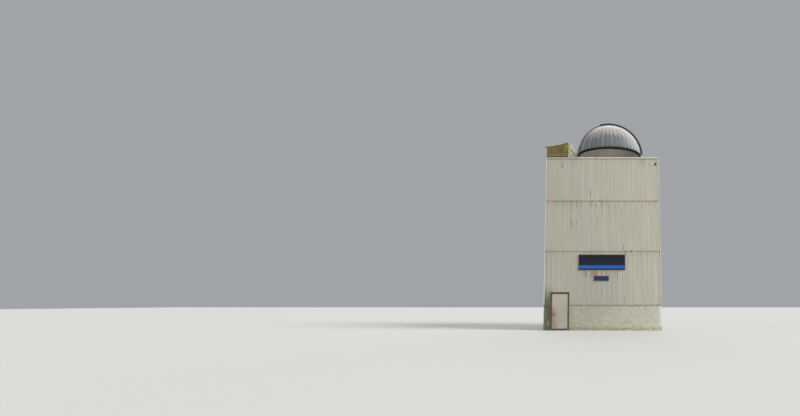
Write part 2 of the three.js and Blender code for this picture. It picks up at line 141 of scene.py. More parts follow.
# %% A finish that makes nodes
def paint(*tone):
    """A chart colour from 0 to 255, made linear."""
    parts = [value / 255 for value in tone]
    return (*[part / 12.92 if part <= 0.04045 else ((part + 0.055) / 1.055) ** 2.4 for part in parts], 1.0)


class Finish:
    """A material with a Principled shader, a colour that is laid on in coats, and calls that make nodes."""

    def __init__(self, name, roughness=0.5, metallic=0.0):
        self.material = bpy.data.materials.new(name)
        self.material.use_nodes = True
        self.tree = self.material.node_tree
        self.shader = self.tree.nodes["Principled BSDF"]
        self.set("Roughness", roughness)
        self.set("Metallic", metallic)
        self.at = self.node("TexCoord", output=3)
        self.x, self.y, self.z = self.node("SeparateXYZ", {}, {0: self.at}, (0, 1, 2))

    def node(self, kind, settings=None, inputs=None, output=0):
        node = self.tree.nodes.new("ShaderNode" + kind)
        for name, value in (settings or {}).items():
            setattr(node, name, value)
        for name, value in (inputs or {}).items():
            self.feed(node.inputs[name], value)
        if isinstance(output, int):
            return Value(self, node.outputs[output])
        return [Value(self, node.outputs[i]) for i in output]

    def feed(self, socket, value):
        if isinstance(value, Value):
            self.tree.links.new(value.socket, socket)
        else:
            socket.default_value = paint(*value) if socket.type == "RGBA" else value

    def set(self, name, value):
        self.feed(self.shader.inputs[name], value)

    def noise(self, size, stretch=(1, 1, 1), detail=4.0, offset=0.0):
        """Cloudy noise from 0 to 1 whose blotches are about this many metres across."""
        mapping = {"Vector": self.at, "Location": (offset,) * 3, "Scale": stretch}
        inputs = {"Vector": self.node("Mapping", {}, mapping), "Scale": 1 / size, "Detail": detail}
        return self.node("TexNoise", {}, inputs)

    def mix(self, factor, first, second):
        return self.node("Mix", {"data_type": "RGBA"}, {0: factor, 6: first, 7: second}, 2)

    def first_coat(self, factor, first, second):
        self.colour = self.mix(factor, first, second)

    def coat(self, factor, tone):
        """Lays a tone over the colour so far, where the factor is above 0."""
        self.colour = self.mix(factor, self.colour, tone)

    def bump(self, height, depth, strength=1.0):
        inputs = {"Height": height, "Distance": depth, "Strength": strength}
        self.set("Normal", self.node("Bump", {}, inputs))

    def done(self):
        self.set("Base Color", self.colour)
        print("finish:", self.material.name)
        return self.material


print("shader maths ready")

# %% [markdown]
# ## Masks for the outside walls
# Rain runs down from each joint, so dirt hangs just under a level. Single marks stand in upright patches
# of the front wall, where the picture shows them. The damp corner by the door has gone green, and the same
# coat paints the shadow of a bush over it, so it has a colour of its own: pale where it is thin and nearly
# black where it is thick.

# %% Masks that the wall finishes share
RUST_DARK = (92, 66, 46)
RUST_LIGHT = (150, 112, 78)


def below(finish, level, reach):
    """1 just under a level, 0 from this many metres below it and above it."""
    under = level - finish.z
    return under.within(reach, 0) * under.math("GREATER_THAN", 0)


def patch(finish, x, bottom, top, half, soft=0.05):
    """1 inside an upright patch of the front wall, with soft edges."""
    across = abs(finish.x - x).within(half, half * 0.4)
    height = finish.z.within(bottom - soft, bottom + soft) * finish.z.within(top + soft, top - soft)
    return across * height * finish.y.math("LESS_THAN", -3.3)


def moss_and_bush_shadow(finish, spread):
    """A green coat over the damp corner, part moss and part painted shadow of a bush, broken up by a mask.
    """
    thick = finish.noise(0.09, (1, 1, 0.5), 6.0, 61.0)
    green = finish.mix(thick.within(0.35, 0.6), (92, 98, 66), (72, 82, 47))
    green = finish.mix(thick.within(0.58, 0.7) * 0.7, green, (52, 60, 36))
    finish.coat(patch(finish, -3.3, -0.5, 2.2, 0.5, 0.5) * spread * 0.92, green)


print("masks ready")

# %% [markdown]
# ## The paint of the walls
# The ribbed sheets carry an old greige paint, a little greener on some sheets and lighter towards the
# right. Faint grime hangs in thin upright streaks. Rust shows in dots close to the joints, and a few
# short dark runs stand alone on the front. The finish works all of it out from the position, so it runs
# on unbroken round the corners. It is laid on like real paint and dirt, one coat over the other, and a
# few of the coats are painted shade.

# %% Dark runs on the front: middle, bottom, top and half width
DARK_RUNS = (
    (-2.49, 9.85, 10.16, 0.035), (-0.74, 7.98, 8.42, 0.03), (-0.07, 7.36, 7.86, 0.028),
    (-1.92, 6.12, 6.68, 0.03), (-0.31, 5.82, 6.66, 0.02), (1.26, 4.73, 5.03, 0.035),
    (2.88, 9.95, 10.15, 0.03), (0.18, 10.31, 10.41, 0.07), (1.70, 4.60, 4.70, 0.05),
    (-0.62, 3.22, 3.50, 0.02), (-1.02, 3.15, 3.50, 0.03), (-1.22, 3.28, 3.50, 0.02),
    (-1.60, 7.31, 7.70, 0.016), (-0.76, 7.50, 7.70, 0.014), (2.40, 7.24, 7.72, 0.018),
    (-2.95, 7.55, 7.72, 0.03), (2.36, 4.66, 4.90, 0.02), (1.27, 1.60, 2.00, 0.024),
    (0.88, 2.95, 3.50, 0.018), (-0.065, 2.05, 2.69, 0.018), (-1.59, 6.15, 6.65, 0.014),
)
print("dark runs on the front:", len(DARK_RUNS))


# %% Rain marks
def rain_marks(wall, sheets, streaks):
    """Grime and drips that hang under the joints. Gives back the mask of the grime."""
    hang = below(wall, TIERS[3] + 0.05, 0.9)
    for level in TIERS[1:3]:
        hang = hang.math("MAXIMUM", below(wall, level, 1.1))
    patches = wall.noise(0.9, (1, 1, 0.3), 2.0, 9.0).within(0.38, 0.62)
    grime = streaks.within(0.5, 0.72) * hang * patches
    wall.coat(grime * 0.5, (118, 110, 92))
    runs = wall.noise(0.07, (1, 1, 0.09), 1.5, 21.0)
    wall.coat(runs.within(0.73, 0.8) * 0.55, (104, 96, 76))
    drips = below(wall, TIERS[2], 0.5).math("MAXIMUM", below(wall, TIERS[1], 0.4))
    wall.coat(drips * runs.within(0.54, 0.64) * 0.62, (124, 98, 70))
    faces_front = abs(wall.y).math("GREATER_THAN", 3.477)
    along = wall.x * faces_front + wall.y * (1 - faces_front)
    rib = ((along + WALL) / RIB_PITCH).math("FRACT")
    # Tier 1: a dark line in the crease at the left foot of each high rib, partly dirt and partly painted
    # shade.
    rib_dirt_and_shade = abs(rib - 0.39).within(0.05, 0.0) * wall.z.within(TIERS[1], TIERS[1] - 0.3)
    wall.coat(rib_dirt_and_shade * sheets.within(0.35, 0.6) * 0.4, (112, 106, 90))
    return grime


# %% Rust at the joints and under the board
def rust_marks(wall, fine):
    joints = 0.0
    for level, reach in zip(TIERS, (0.14, 0.06, 0.1)):
        joints = abs(wall.z - level).within(reach, 0).math("MAXIMUM", joints)
    rust = joints * wall.noise(0.1, (1, 1, 0.6), 4.0, 33.0).within(0.5, 0.66)
    wall.coat(rust * 0.6, wall.mix(fine, RUST_DARK, RUST_LIGHT))
    specks = wall.noise(0.07, (1, 1, 0.5), 3.0, 77.0).within(0.62, 0.7)
    wall.coat(specks * wall.z.within(TIERS[2], TIERS[1] - 0.6) * 0.4, (124, 116, 94))
    wall.coat(patch(wall, -0.4, 1.3, 3.2, 2.2, 0.3) * 0.4, (158, 157, 150))
    threads = wall.noise(0.045, (1, 1, 0.06), 3.0, 41.0).within(0.42, 0.6)
    broad = wall.noise(0.15, (1, 1, 0.08), 2.0, 43.0).within(0.42, 0.62)
    stain = patch(wall, -0.2, 3.1, 3.5, 1.3, 0.15) * (threads + broad) * 0.45
    stain = stain + patch(wall, -0.72, 3.05, 3.5, 0.4, 0.15) * threads * 0.5
    wall.coat(stain.math("MINIMUM", 0.8), (146, 110, 80))


# %% Wall paint
def wall_paint():
    wall = Finish("wall_paint", roughness=0.62)
    sheets = wall.noise(0.85, (1, 1, 0.06), 1.0, 2.0)
    fine = wall.noise(0.05, (1, 1, 0.05), 3.0)
    streaks = wall.noise(0.16, (1, 1, 0.03), 3.0, 4.0)
    wall.first_coat(sheets.within(0.38, 0.62), (167, 167, 151), (171, 166, 154))
    # Lighter towards the right of the front wall.
    lighter_to_right = wall.x.within(-3.2, 3.4) * 0.75 + wall.noise(1.8).within(0.4, 0.7) * 0.25
    wall.coat(lighter_to_right, (191, 187, 170))
    wall.coat(fine.within(0.42, 0.75) * 0.4, (160, 158, 142))
    wall.coat(streaks.within(0.56, 0.72) * 0.2, (158, 162, 144))
    wall.coat(streaks.within(0.44, 0.3) * 0.25, (206, 203, 190))
    grime = rain_marks(wall, sheets, streaks)
    rust_marks(wall, fine)
    moss_and_bush_shadow(wall, wall.noise(0.3, (1, 1, 0.4), 4.0, 5.0).within(0.2, 0.4))
    marks = 0.0
    for x, bottom, top, half in DARK_RUNS:
        marks = patch(wall, x, bottom, top, half, 0.03) + marks
    broken_up = wall.noise(0.05, (1, 1, 0.12), 4.0, 51.0).within(0.3, 0.52)
    wall.coat(marks.math("MINIMUM", 1.0) * broken_up * 0.85, (92, 84, 66))
    wall.set("Roughness", grime * 0.25 + 0.58)
    wall.bump(fine, 0.0006, 0.6)
    return wall.done()


WALL_PAINT = wall_paint()

# %% [markdown]
# ## The painted concrete base
# Below the lowest joint the wall is smooth painted concrete. It is a little greener than the sheets, is
# daubed lighter and darker, is darker along the ground with a dotted dark line at its foot, and has lost
# chips of paint there. Small specks break it up, because plain blotches alone look like marble.

# %% Base paint
def base_paint():
    base = Finish("base_paint", roughness=0.8)
    clouds = base.noise(0.8)
    stains = base.noise(0.25, (1, 1, 0.35), 5.0, 3.0)
    base.first_coat(base.x.within(-2.5, 2.0), (154, 153, 135), (194, 193, 174))
    base.coat(clouds.within(0.35, 0.7) * 0.4, (176, 176, 156))
    base.coat(stains.within(0.52, 0.75) * 0.35, (158, 162, 136))
    base.coat(base.x.within(2.2, 3.5) * 0.5, (214, 213, 196))
    base.coat(base.z.within(0.25, 0) * clouds.within(0.3, 0.6) * 0.6, (128, 124, 98))
    chips = base.noise(0.09, (1, 1, 1.4), 6.0, 14.0) + base.z.within(0.35, 0) * 0.14
    chipped = chips.within(0.7, 0.72)
    base.coat(chipped * 0.7, (104, 96, 78))
    daubs = base.noise(0.24, (1, 1, 1.3), 8.0, 31.0)
    base.coat(daubs.within(0.53, 0.7) * 0.4, (206, 206, 190))
    base.coat(daubs.within(0.46, 0.3) * 0.4, (140, 140, 120))
    specks = base.noise(0.07, (1, 1, 1), 3.0, 71.0)
    base.coat(specks.within(0.58, 0.68) * 0.4, (124, 122, 100))
    # A dotted dark line along the foot of the wall.
    foot = abs(base.z - 0.12).within(0.07, 0.0) * specks.within(0.46, 0.56)
    base.coat(foot * 0.6, (104, 98, 78))
    corner = abs(base.x).within(3.32, 3.4) * abs(base.y).within(3.32, 3.4) * daubs.within(0.3, 0.45)
    base.coat(corner * 0.85, (222, 222, 212))
    streaks = base.noise(0.1, (1, 1, 0.05), 3.0, 8.0).within(0.55, 0.75)
    base.coat(streaks * below(base, TIERS[0], 0.6) * 0.45, (126, 114, 92))
    moss_and_bush_shadow(base, stains.within(0.2, 0.4))
    base.bump(base.noise(0.012) - chipped, 0.0015, 0.5)
    return base.done()


BASE_PAINT = base_paint()

# %% [markdown]
# ## Paints and metals in one call
# Many small parts need the same kind of finish: a colour that wanders a little, a second colour where it
# is worn or dirty, and a fine grain in the light. One function makes all of them, each with its own
# colours, blotch size and gloss.

# %% Worn finishes
def worn(name, main, second, bare, size=0.1, spread=(0.56, 0.68), gloss=0.5, metal=0.0, amount=0.8):
    """A finish of a main and a second colour, with a third where it is worn."""
    finish = Finish(name, roughness=gloss, metallic=metal)
    clouds = finish.noise(size * 3, (1, 1, 0.6))
    grain = finish.noise(size / 12, (1, 1, 0.5), 5.0, 5.0)
    finish.first_coat(clouds.within(0.3, 0.7), main, second)
    mask = finish.noise(size, (1, 1, 0.5), 6.0, 11.0).within(*spread)
    finish.coat(mask * amount, bare)
    finish.set("Roughness", clouds * 0.16 + mask * 0.2 + (gloss - 0.1))
    finish.bump(grain, 0.0005, 0.5)
    return finish.done()


TRIM = worn("trim_paint", (212, 209, 192), (200, 197, 178), (150, 140, 116), 0.3)
CORNER = worn(
    "corner_paint", (208, 208, 198), (188, 188, 176), (118, 112, 96), 0.1, (0.58, 0.66), amount=0.7
)
CHEEK_BOARD = worn("shaded_board", (150, 146, 134), (132, 128, 112), (100, 98, 78), 0.12)
ROUGH_WHITE = worn("rough_white_board", (188, 181, 172), (176, 169, 158), (112, 104, 90), 0.1, (0.5, 0.6))
FLASHING = worn("rusty_flashing", (136, 124, 104), (116, 102, 82), (98, 74, 54), 0.2)
SPOTTED_FLASHING = worn(
    "spotted_flashing", (160, 151, 130), (136, 124, 102), (92, 68, 50), 0.1, (0.48, 0.55)
)
PALE_FLASHING = worn("pale_flashing", (176, 164, 140), (154, 138, 112), (110, 84, 62), 0.16, (0.52, 0.6))
FRAME_BROWN = worn("frame_brown", (92, 78, 68), (72, 58, 50), (120, 96, 76))
STEEL = worn("plain_steel", (170, 171, 172), (150, 151, 153), (110, 104, 98), gloss=0.35, metal=0.9)
DARK_STEEL = worn("dark_steel", (48, 47, 46), (36, 36, 36), (84, 64, 50), 0.15, gloss=0.55, metal=0.5)
RING_BLACK = worn("ring_black", (40, 38, 36), (30, 29, 28), (70, 58, 48), 0.2, gloss=0.7)
BLACK = worn("black_enamel", (28, 28, 30), (20, 20, 22), (52, 52, 54), gloss=0.35)
WHITE = worn("white_enamel", (226, 226, 224), (214, 215, 216), (188, 186, 180), gloss=0.35)
TUBE_GREEN = worn("tube_green", (196, 204, 172), (186, 195, 162), (168, 174, 148), 0.2, gloss=0.35)
RED = worn("red_line", (176, 34, 30), (160, 28, 26), (120, 24, 22), gloss=0.35)
STAIR_ROOF = worn("stair_roof_metal", (192, 186, 164), (176, 164, 136), (124, 98, 68), 0.2, (0.46, 0.6))
LAMINATE = worn("cupboard_paint", (198, 194, 184), (188, 184, 174), (160, 154, 142), 0.3)
DESK_TOP = worn("desk_laminate", (214, 210, 202), (204, 199, 190), (182, 176, 166), 0.4, amount=0.3)
LINING = worn("wall_lining", (150, 146, 134), (138, 134, 122), (110, 102, 90), 0.5, gloss=0.8)
FRAME_ZINC = worn("frame_zinc", (150, 152, 154), (132, 134, 138), (104, 100, 96), 0.3, metal=0.3)
# The shutters' near-black navy is partly painted shade.
NAVY = worn("shutter_navy", (20, 22, 32), (14, 15, 22), (42, 44, 54), 0.5, (0.6, 0.8), gloss=0.7)

# %% [markdown]
# ## Shapes from bmesh operators
# Nearly every part of the building is a bar, a turned shape or a bent sheet. Each helper starts a bmesh,
# shapes it with operators and hands it on, and `joined` gathers several into one. What an operator hands
# back mixes vertices, edges and faces, so `corners_of` picks out the vertices that are to be moved.

# %% Bars, joined shapes and copies
def corners_of(geom):
    return [part for part in geom if isinstance(part, bmesh.types.BMVert)]


def everything(shape):
    return shape.verts[:] + shape.edges[:] + shape.faces[:]


def moved(shape, matrix):
    shape.transform(matrix)
    return shape


def broken(shape, width, segments=1, edges=None):
    """Bevels the edges of a shape, all of them if none are named."""
    kind = {"affect": "EDGES", "profile": 0.5, "material": -1}
    bmesh.ops.bevel(shape, geom=edges or shape.edges[:], offset=width, segments=segments, **kind)
    return shape


def bar(low, high, edge=0.002, segments=1):
    """A bar between two opposite corners, with its edges broken."""
    middle = (Vector(high) + Vector(low)) / 2
    size = Matrix.Diagonal((*(Vector(high) - Vector(low)), 1))
    bm = bmesh.new()
    bmesh.ops.create_cube(bm, size=1, matrix=Matrix.Translation(middle) @ size)
    return broken(bm, edge, segments)


def joined(*shapes):
    """Several shapes as one. The parts given are used up."""
    whole = bmesh.new()
    carrier = bpy.data.meshes.new("carrier")
    for shape in shapes:
        shape.to_mesh(carrier)
        shape.free()
        whole.from_mesh(carrier)
    bpy.data.meshes.remove(carrier)
    return whole


def bars(edge, *pairs):
    """Several bars with the same edge."""
    return joined(*[bar(low, high, edge) for low, high in pairs])


def repeated(shape, matrices):
    """The shape once at each matrix."""
    seed = everything(shape)
    for matrix in matrices:
        copy = bmesh.ops.duplicate(shape, geom=seed)["geom"]
        bmesh.ops.transform(shape, matrix=matrix, verts=corners_of(copy))
    bmesh.ops.delete(shape, geom=corners_of(seed), context="VERTS")
    return shape


def turns(angles):
    """One turn about the Z axis for each angle in degrees."""
    return [Matrix.Rotation(math.radians(angle), 4, "Z") for angle in angles]


def shifts(*places):
    """One move for each place."""
    return [Matrix.Translation(place) for place in places]


QUARTERS = turns(range(0, 360, 90))
print("bars and copies ready")

# %% [markdown]
# Round parts are spun from a profile of radius and height. A solid one is closed at the axis, and a hoop
# is closed on itself. Curved strips are spun too, from a flat outline and through less than a full turn:
# round the dome's upright axis for its wall, or round the slit's level axis for its shutters. A spin can
# leave doubles and faces that point inwards, so each spun shape is welded and turned outwards.

# %% Turned shapes
def welded(shape):
    """Merges the points that meet, and turns the faces outwards."""
    bmesh.ops.remove_doubles(shape, verts=shape.verts, dist=1e-5)
    bmesh.ops.recalc_face_normals(shape, faces=shape.faces)
    return shape


def line(points):
    """Edges from point to point."""
    bm = bmesh.new()
    corners = [bm.verts.new(point) for point in points]
    for pair in zip(corners, corners[1:]):
        bm.edges.new(pair)
    return bm


def lathe(profile, steps=48, matrix=Matrix()):
    """A profile of radius and height turned once round the Z axis."""
    bm = line([(radius, 0, height) for radius, height in profile])
    spun = {"cent": (0, 0, 0), "axis": (0, 0, 1), "angle": 2 * math.pi, "steps": steps}
    bmesh.ops.spin(bm, geom=bm.verts[:] + bm.edges[:], use_merge=True, **spun)
    return moved(welded(bm), matrix)


def solid(profile, steps=48, matrix=Matrix()):
    """A turned shape whose first and last points are closed by flat ends."""
    first, last = profile[0][1], profile[-1][1]
    return lathe([(0, first), *profile, (0, last)], steps, matrix)


def hoop(profile, steps=48, matrix=Matrix()):
    """A turned ring whose profile is closed on itself."""
    return lathe([*profile, profile[0]], steps, matrix)


def oblong(a0, a1, b0, b1):
    """The four corners of a rectangular section."""
    return [(a0, b0), (a1, b0), (a1, b1), (a0, b1)]


def towards(start, end):
    """The matrix that stands the Z axis on start and points it at end."""
    way = Vector(end) - Vector(start)
    return Matrix.Translation(start) @ way.to_track_quat("Z", "Y").to_matrix().to_4x4()


def rod(radius, start, end, steps=16, edge=0.0015):
    """A round bar between two points, with a small chamfer at both ends."""
    length = (Vector(end) - Vector(start)).length
    ends = [(radius - edge, 0), (radius, edge), (radius, length - edge), (radius - edge, length)]
    return solid(ends, steps, towards(start, end))


print("turned shapes ready")

# %% Swept outlines
def flat(points):
    """One face through the points."""
    bm = bmesh.new()
    bm.faces.new([bm.verts.new(point) for point in points])
    return bm


def swept(points, axis, start, end, steps):
    """A flat outline turned about an axis between two angles in degrees."""
    bm = flat(points)
    turn = Matrix.Rotation(math.radians(start), 3, Vector(axis))
    bmesh.ops.rotate(bm, cent=(0, 0, 0), matrix=turn, verts=bm.verts)
    sweep = math.radians(end - start)
    bmesh.ops.spin(bm, geom=bm.faces[:], cent=(0, 0, 0), axis=axis, angle=sweep, steps=steps)
    return welded(bm)


def arched(outline, start, end, steps):
    """An outline of radius and Y turned about the slit's axis, between two angles over the horizon."""
    return swept([(radius, y, 0) for radius, y in outline], (0, -1, 0), start, end, steps)


print("swept outlines ready")

# %% [markdown]
# Sheets are open: a line is pulled up or outwards, faced the right way, and a Solidify modifier gives it
# its metal at the end. Where a sheet has to end or to make room, a plane cuts its faces in two, and the
# faces on the wrong side are taken out. `place` turns a finished shape into an object, hangs it on an empty
# for the body that carries it, and hides the solids that it stands for.

# %% Sheets, cuts and finished pieces
def pulled(sheet, way, lines=None):
    """Pulls lines along to make faces, and gives back the lines that end them."""
    made = bmesh.ops.extrude_edge_only(sheet, edges=lines or sheet.edges[:])["geom"]
    bmesh.ops.translate(sheet, vec=way, verts=corners_of(made))
    return [part for part in made if isinstance(part, bmesh.types.BMEdge)]


def facing(sheet, way):
    """Turns the faces of an open sheet towards a direction."""
    bmesh.ops.recalc_face_normals(sheet, faces=sheet.faces)
    if sum(face.normal.dot(Vector(way)) * face.calc_area() for face in sheet.faces) < 0:
        bmesh.ops.reverse_faces(sheet, faces=sheet.faces)
    return sheet


def cut(shape, at, way, **choices):
    return bmesh.ops.bisect_plane(shape, geom=everything(shape), plane_co=at, plane_no=way, **choices)


def without(shape, gone):
    """Takes out the faces whose middles the test names."""
    faces = [face for face in shape.faces if gone(face.calc_center_median())]
    bmesh.ops.delete(shape, geom=faces, context="FACES")
    return shape


def added(name, data):
    """A new object in the scene."""
    thing = bpy.data.objects.new(name, data)
    bpy.context.collection.objects.link(thing)
    return thing


def place(name, shape, finish, body, slot, replaced=(), smooth=30):
    """Makes a finished object of a shape, on the body that carries it."""
    mesh = bpy.data.meshes.new(name)
    shape.to_mesh(mesh)
    shape.free()
    mesh.materials.append(finish)
    if smooth:
        mesh.shade_smooth()
        mesh.set_sharp_from_angle(angle=math.radians(smooth))
    piece = added(name, mesh)
    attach(piece, body)
    if replaced:
        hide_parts(*replaced)
    print("made", name, "with", len(mesh.polygons), "faces")
    return piece


def place_sheet(thickness, *details, **choices):
    """Places an open sheet and gives it its metal with a modifier."""
    metal = place(*details, **choices).modifiers.new("thickness", "SOLIDIFY")
    metal.thickness = thickness
    metal.offset = -1.0


print("sheets and placing ready")

# %% [markdown]
# ## Ribbed siding
# The walls are clad with steel sheets that stand in three tiers. Each is folded into a high rib every
# 300 mm with two low ones between, the fold that the picture's faint upright lines show. One pitch is
# drawn as a line in plan, copied along the wall, welded and pulled up to the height of its tier. The high
# ribs of the upper tiers are a little shallower, because their lines are fainter in the picture. A
# Solidify modifier then gives the sheet its 1 mm of steel. Each tier starts a finger's width above the
# flashing under it, as real sheets do so that water can drip off.

# %% The fold of the sheets
RISES = (0.45, 0.34, 0.25)
VALLEY = WALL + 0.002
DRIP_GAP = 0.010
TOP_GAP = 0.004
WALLS = tuple(zip(("front", "right", "back", "left"), QUARTERS))


def fold(rise):
    """One pitch as distances along the wall and shares of the wall's full depth."""
    small = rise * 0.2
    first, second = [
        [(x - 0.011, 0.0), (x - 0.005, small), (x + 0.005, small), (x + 0.011, 0.0)] for x in (0.05, 0.252)
    ]
    high = [(0.120, 0.0), (0.133, rise), (0.169, rise), (0.182, 0.0)]
    return [(0.0, 0.0), *first, *high, *second, (RIB_PITCH, 0.0)]


def ribbed(bottom, top, rise):
    """A sheet on the front wall between two levels."""
    sheet = line([(x, -VALLEY - (CREST - VALLEY) * share, bottom) for x, share in fold(rise)])
    repeated(sheet, shifts(*[(-WALL + RIB_PITCH * i, 0, 0) for i in range(RIBS)]))
    bmesh.ops.remove_doubles(sheet, verts=sheet.verts, dist=1e-4)
    pulled(sheet, (0, 0, top - bottom))
    return facing(sheet, (0, -1, 0))


def with_doorway(sheet):
    """Cuts the doorway out of what runs across the front wall."""
    left, right = DOORWAY
    for at, way in (((left, 0, 0), (1, 0, 0)), ((right, 0, 0), (1, 0, 0)), ((0, 0, DOOR_HEAD), (0, 0, 1))):
        cut(sheet, at, way)
    return without(sheet, lambda middle: left < middle.x < right and middle.y < 0 and middle.z < DOOR_HEAD)


for wall, turn in WALLS:
    for tier, (low, high) in enumerate(zip(TIERS, TIERS[1:]), start=1):
        sheet = ribbed(low + DRIP_GAP, high - TOP_GAP, RISES[tier - 1])
        if (wall, tier) == ("front", 1):
            with_doorway(sheet)
        name = f"siding_{wall}_{tier}"
        place_sheet(0.001, name, moved(sheet, turn), WALL_PAINT, "tower", "siding", smooth=0)

# %% [markdown]
# ## Flashings at the joints
# Under each tier runs a folded flashing that throws the water out over the sheet below, and it is the
# thin brown line that shows from the ground. Its profile is drawn as a ring of four corners that is
# extruded and scaled step by step, so the folds are mitred where two walls meet. The lowest one stops at
# the doorway.

# %% Joint flashings
def square_ring(profile):
    """A folded strip round the tower from points of half width and level."""
    first, level = profile[0]
    around = Matrix.Translation((0, 0, level)) @ Matrix.Rotation(math.pi / 4, 4, "Z")
    bm = bmesh.new()
    bmesh.ops.create_circle(bm, cap_ends=False, segments=4, radius=first * math.sqrt(2), matrix=around)
    lines = bm.edges[:]
    for (half, height), (wider, higher) in zip(profile, profile[1:]):
        lines = pulled(bm, (0, 0, higher - height), lines)
        corners = {corner for edge in lines for corner in edge.verts}
        bmesh.ops.scale(bm, vec=(wider / half, wider / half, 1), verts=list(corners))
    bmesh.ops.recalc_face_normals(bm, faces=bm.faces)
    return bm


NOSE = CREST + 0.003
BASE_NOSE = CREST + 0.004
BEHIND = WALL + 0.001
for number, finish in ((1, PALE_FLASHING), (2, SPOTTED_FLASHING)):
    level = TIERS[number]
    top, lip = level + 0.005, level - 0.009
    profile = [(BEHIND, level + 0.009), (NOSE, top), (NOSE, lip), (NOSE - 0.003, lip - 0.003)]
    name = f"joint_flashing_{number + 1}"
    place_sheet(0.0012, name, square_ring(profile), finish, "tower", "siding", smooth=0)
profile = [(BEHIND, 1.457), (BASE_NOSE, 1.453), (BASE_NOSE, 1.438), (BEHIND, 1.436)]
strip = with_doorway(square_ring(profile))
place_sheet(0.0012, "base_flashing", strip, FLASHING, "tower", "siding", smooth=0)

# %% [markdown]
# ## Corner angles
# At the corners a bright angle covers the ends of the sheets, one length to each tier. It is a line of
# two edges in plan, pulled up and copied to the four corners.

# %% Corner angles
LEG = 0.060


def corner_angle(bottom, top):
    out = CREST + 0.0015
    angle = line([(out - LEG, -out, bottom), (out, -out, bottom), (out, -out + LEG, bottom)])
    pulled(angle, (0, 0, top - bottom))
    return facing(angle, (1, 0, 0))


angles = joined(*[corner_angle(low + 0.02, high - 0.02) for low, high in zip(TIERS, TIERS[1:])])
place_sheet(0.0012, "corner_angles", repeated(angles, QUARTERS), CORNER, "tower", "trim", smooth=0)

# %% [markdown]
# ## Screws of the siding
# The sheets are held to the rails behind them by hexagonal screws in the valleys, in level rows. A head
# is 11 mm across on a washer of 18 mm, so from the ground the rows only show as faint dots, but they are
# there. Hundreds are needed, so each one is a small cone with six sides on another with six.

# %% Rows of screws
SCREW_LEVELS = (1.52, 3.05, 4.58, 4.73, 6.2, 7.66, 7.80, 9.1, 10.34)


def screw():
    bm = bmesh.new()
    for radius, depth, out in ((0.009, 0.002, 0.001), (0.0055, 0.005, 0.0045)):
        matrix = Matrix.Translation((0, -VALLEY - out, 0)) @ Matrix.Rotation(math.pi / 2, 4, "X")
        bmesh.ops.create_cone(
            bm, cap_ends=True, segments=6, radius1=radius, radius2=radius * 0.8, depth=depth, matrix=matrix
        )
    return bm


def has_room(x, z):
    """True away from the corner angles and the doorway."""
    return abs(x) < 3.36 and not (-3.2 < x < -1.9 and z < 2.3)


columns = [-WALL + RIB_PITCH * (i + 1) for i in range(RIBS - 1)]
row = repeated(screw(), shifts(*[(x, 0, z) for x in columns for z in SCREW_LEVELS if has_room(x, z)]))
for wall, turn in WALLS:
    place(f"screws_{wall}", moved(row.copy(), turn), STEEL, "tower", "steel", smooth=0)
row.free()

# %% [markdown]
# ## Coping of the parapet
# The wall ends in a pale coping of folded metal. The solid has its shape already, so it keeps its place
# and gets the trim paint. What it lacks are the saddles over its joints, every couple of metres, and the
# brown line of the drip edge under it.

# %% Coping saddles and drip edge
out = COPING + 0.0025
saddle = bars(
    0.0008,
    ((-0.06, -out, 10.424), (0.06, -out + 0.003, COPING_TOP + 0.0025)),
    ((-0.06, -out, COPING_TOP), (0.06, -3.333, COPING_TOP + 0.0025)),
)
repeated(saddle, shifts((-0.95, 0, 0), (1.17, 0, 0), (2.9, 0, 0)))
place("coping_saddles", repeated(saddle, QUARTERS), TRIM, "tower", "trim", smooth=0)
lip = COPING + 0.006
drip = square_ring([(3.4905, 10.4185), (COPING + 0.001, 10.4185), (lip, 10.413), (lip, 10.396)])
place_sheet(0.0015, "coping_drip", drip, FLASHING, "tower", "trim", smooth=0)

# %% [markdown]
# ## The entrance door
# The leaf is a flush steel door in a brown frame. The solids already have the leaf, the frame with its
# stops, the hinges and the lever, so they get finishes that say how they have aged. A beige wash of rust
# creeps in from the leaf's left edge, with a few brown spots low down, and the upper part has yellowed.

# %% Door paint with rust at its edge
def door_paint():
    leaf = Finish("door_paint", roughness=0.5)
    clouds = leaf.noise(0.4)
    fine = leaf.noise(0.03, (1, 1, 0.4), 5.0, 2.0)
    leaf.first_coat(clouds.within(0.3, 0.7), (172, 170, 160), (164, 160, 148))
    leaf.coat(leaf.z.within(1.2, 2.0) * 0.8, (186, 177, 150))
    streaks = leaf.noise(0.07, (1, 1, 0.08), 3.0, 6.0).within(0.5, 0.75)
    leaf.coat(streaks * 0.4, (168, 160, 144))
    wash = (leaf.x + 2.983).within(0.4, 0.1) * leaf.z.within(1.5, 1.15)
    leaf.coat(wash * clouds.within(0.2, 0.5) * 0.85, (160, 130, 98))
    rusted = patch(leaf, -2.9, 0.76, 1.0, 0.07) + patch(leaf, -2.9, 0.45, 0.62, 0.05)
    rusted = rusted + patch(leaf, -2.81, 0.06, 0.34, 0.08) * 0.7
    rusted = rusted * leaf.noise(0.07, (1, 1, 0.6), 5.0, 17.0).within(0.4, 0.6)
    leaf.coat(rusted.math("MINIMUM", 1.0) * 0.9, leaf.mix(fine, RUST_DARK, (136, 92, 58)))
    leaf.set("Roughness", streaks * 0.2 + 0.45)
    leaf.bump(rusted + fine * 0.3, 0.0012, 0.6)
    return leaf.done()


DOOR_PAINT = door_paint()

# %% [markdown]
# Round the leaf come the things that a door needs: a drip cap over the head, a threshold plate, a dark
# sweep along the leaf's foot with a holder at its corner, and a lock above the lever. Narrow closures in
# the wall's colour cover the cut edges of the sheets at both sides.

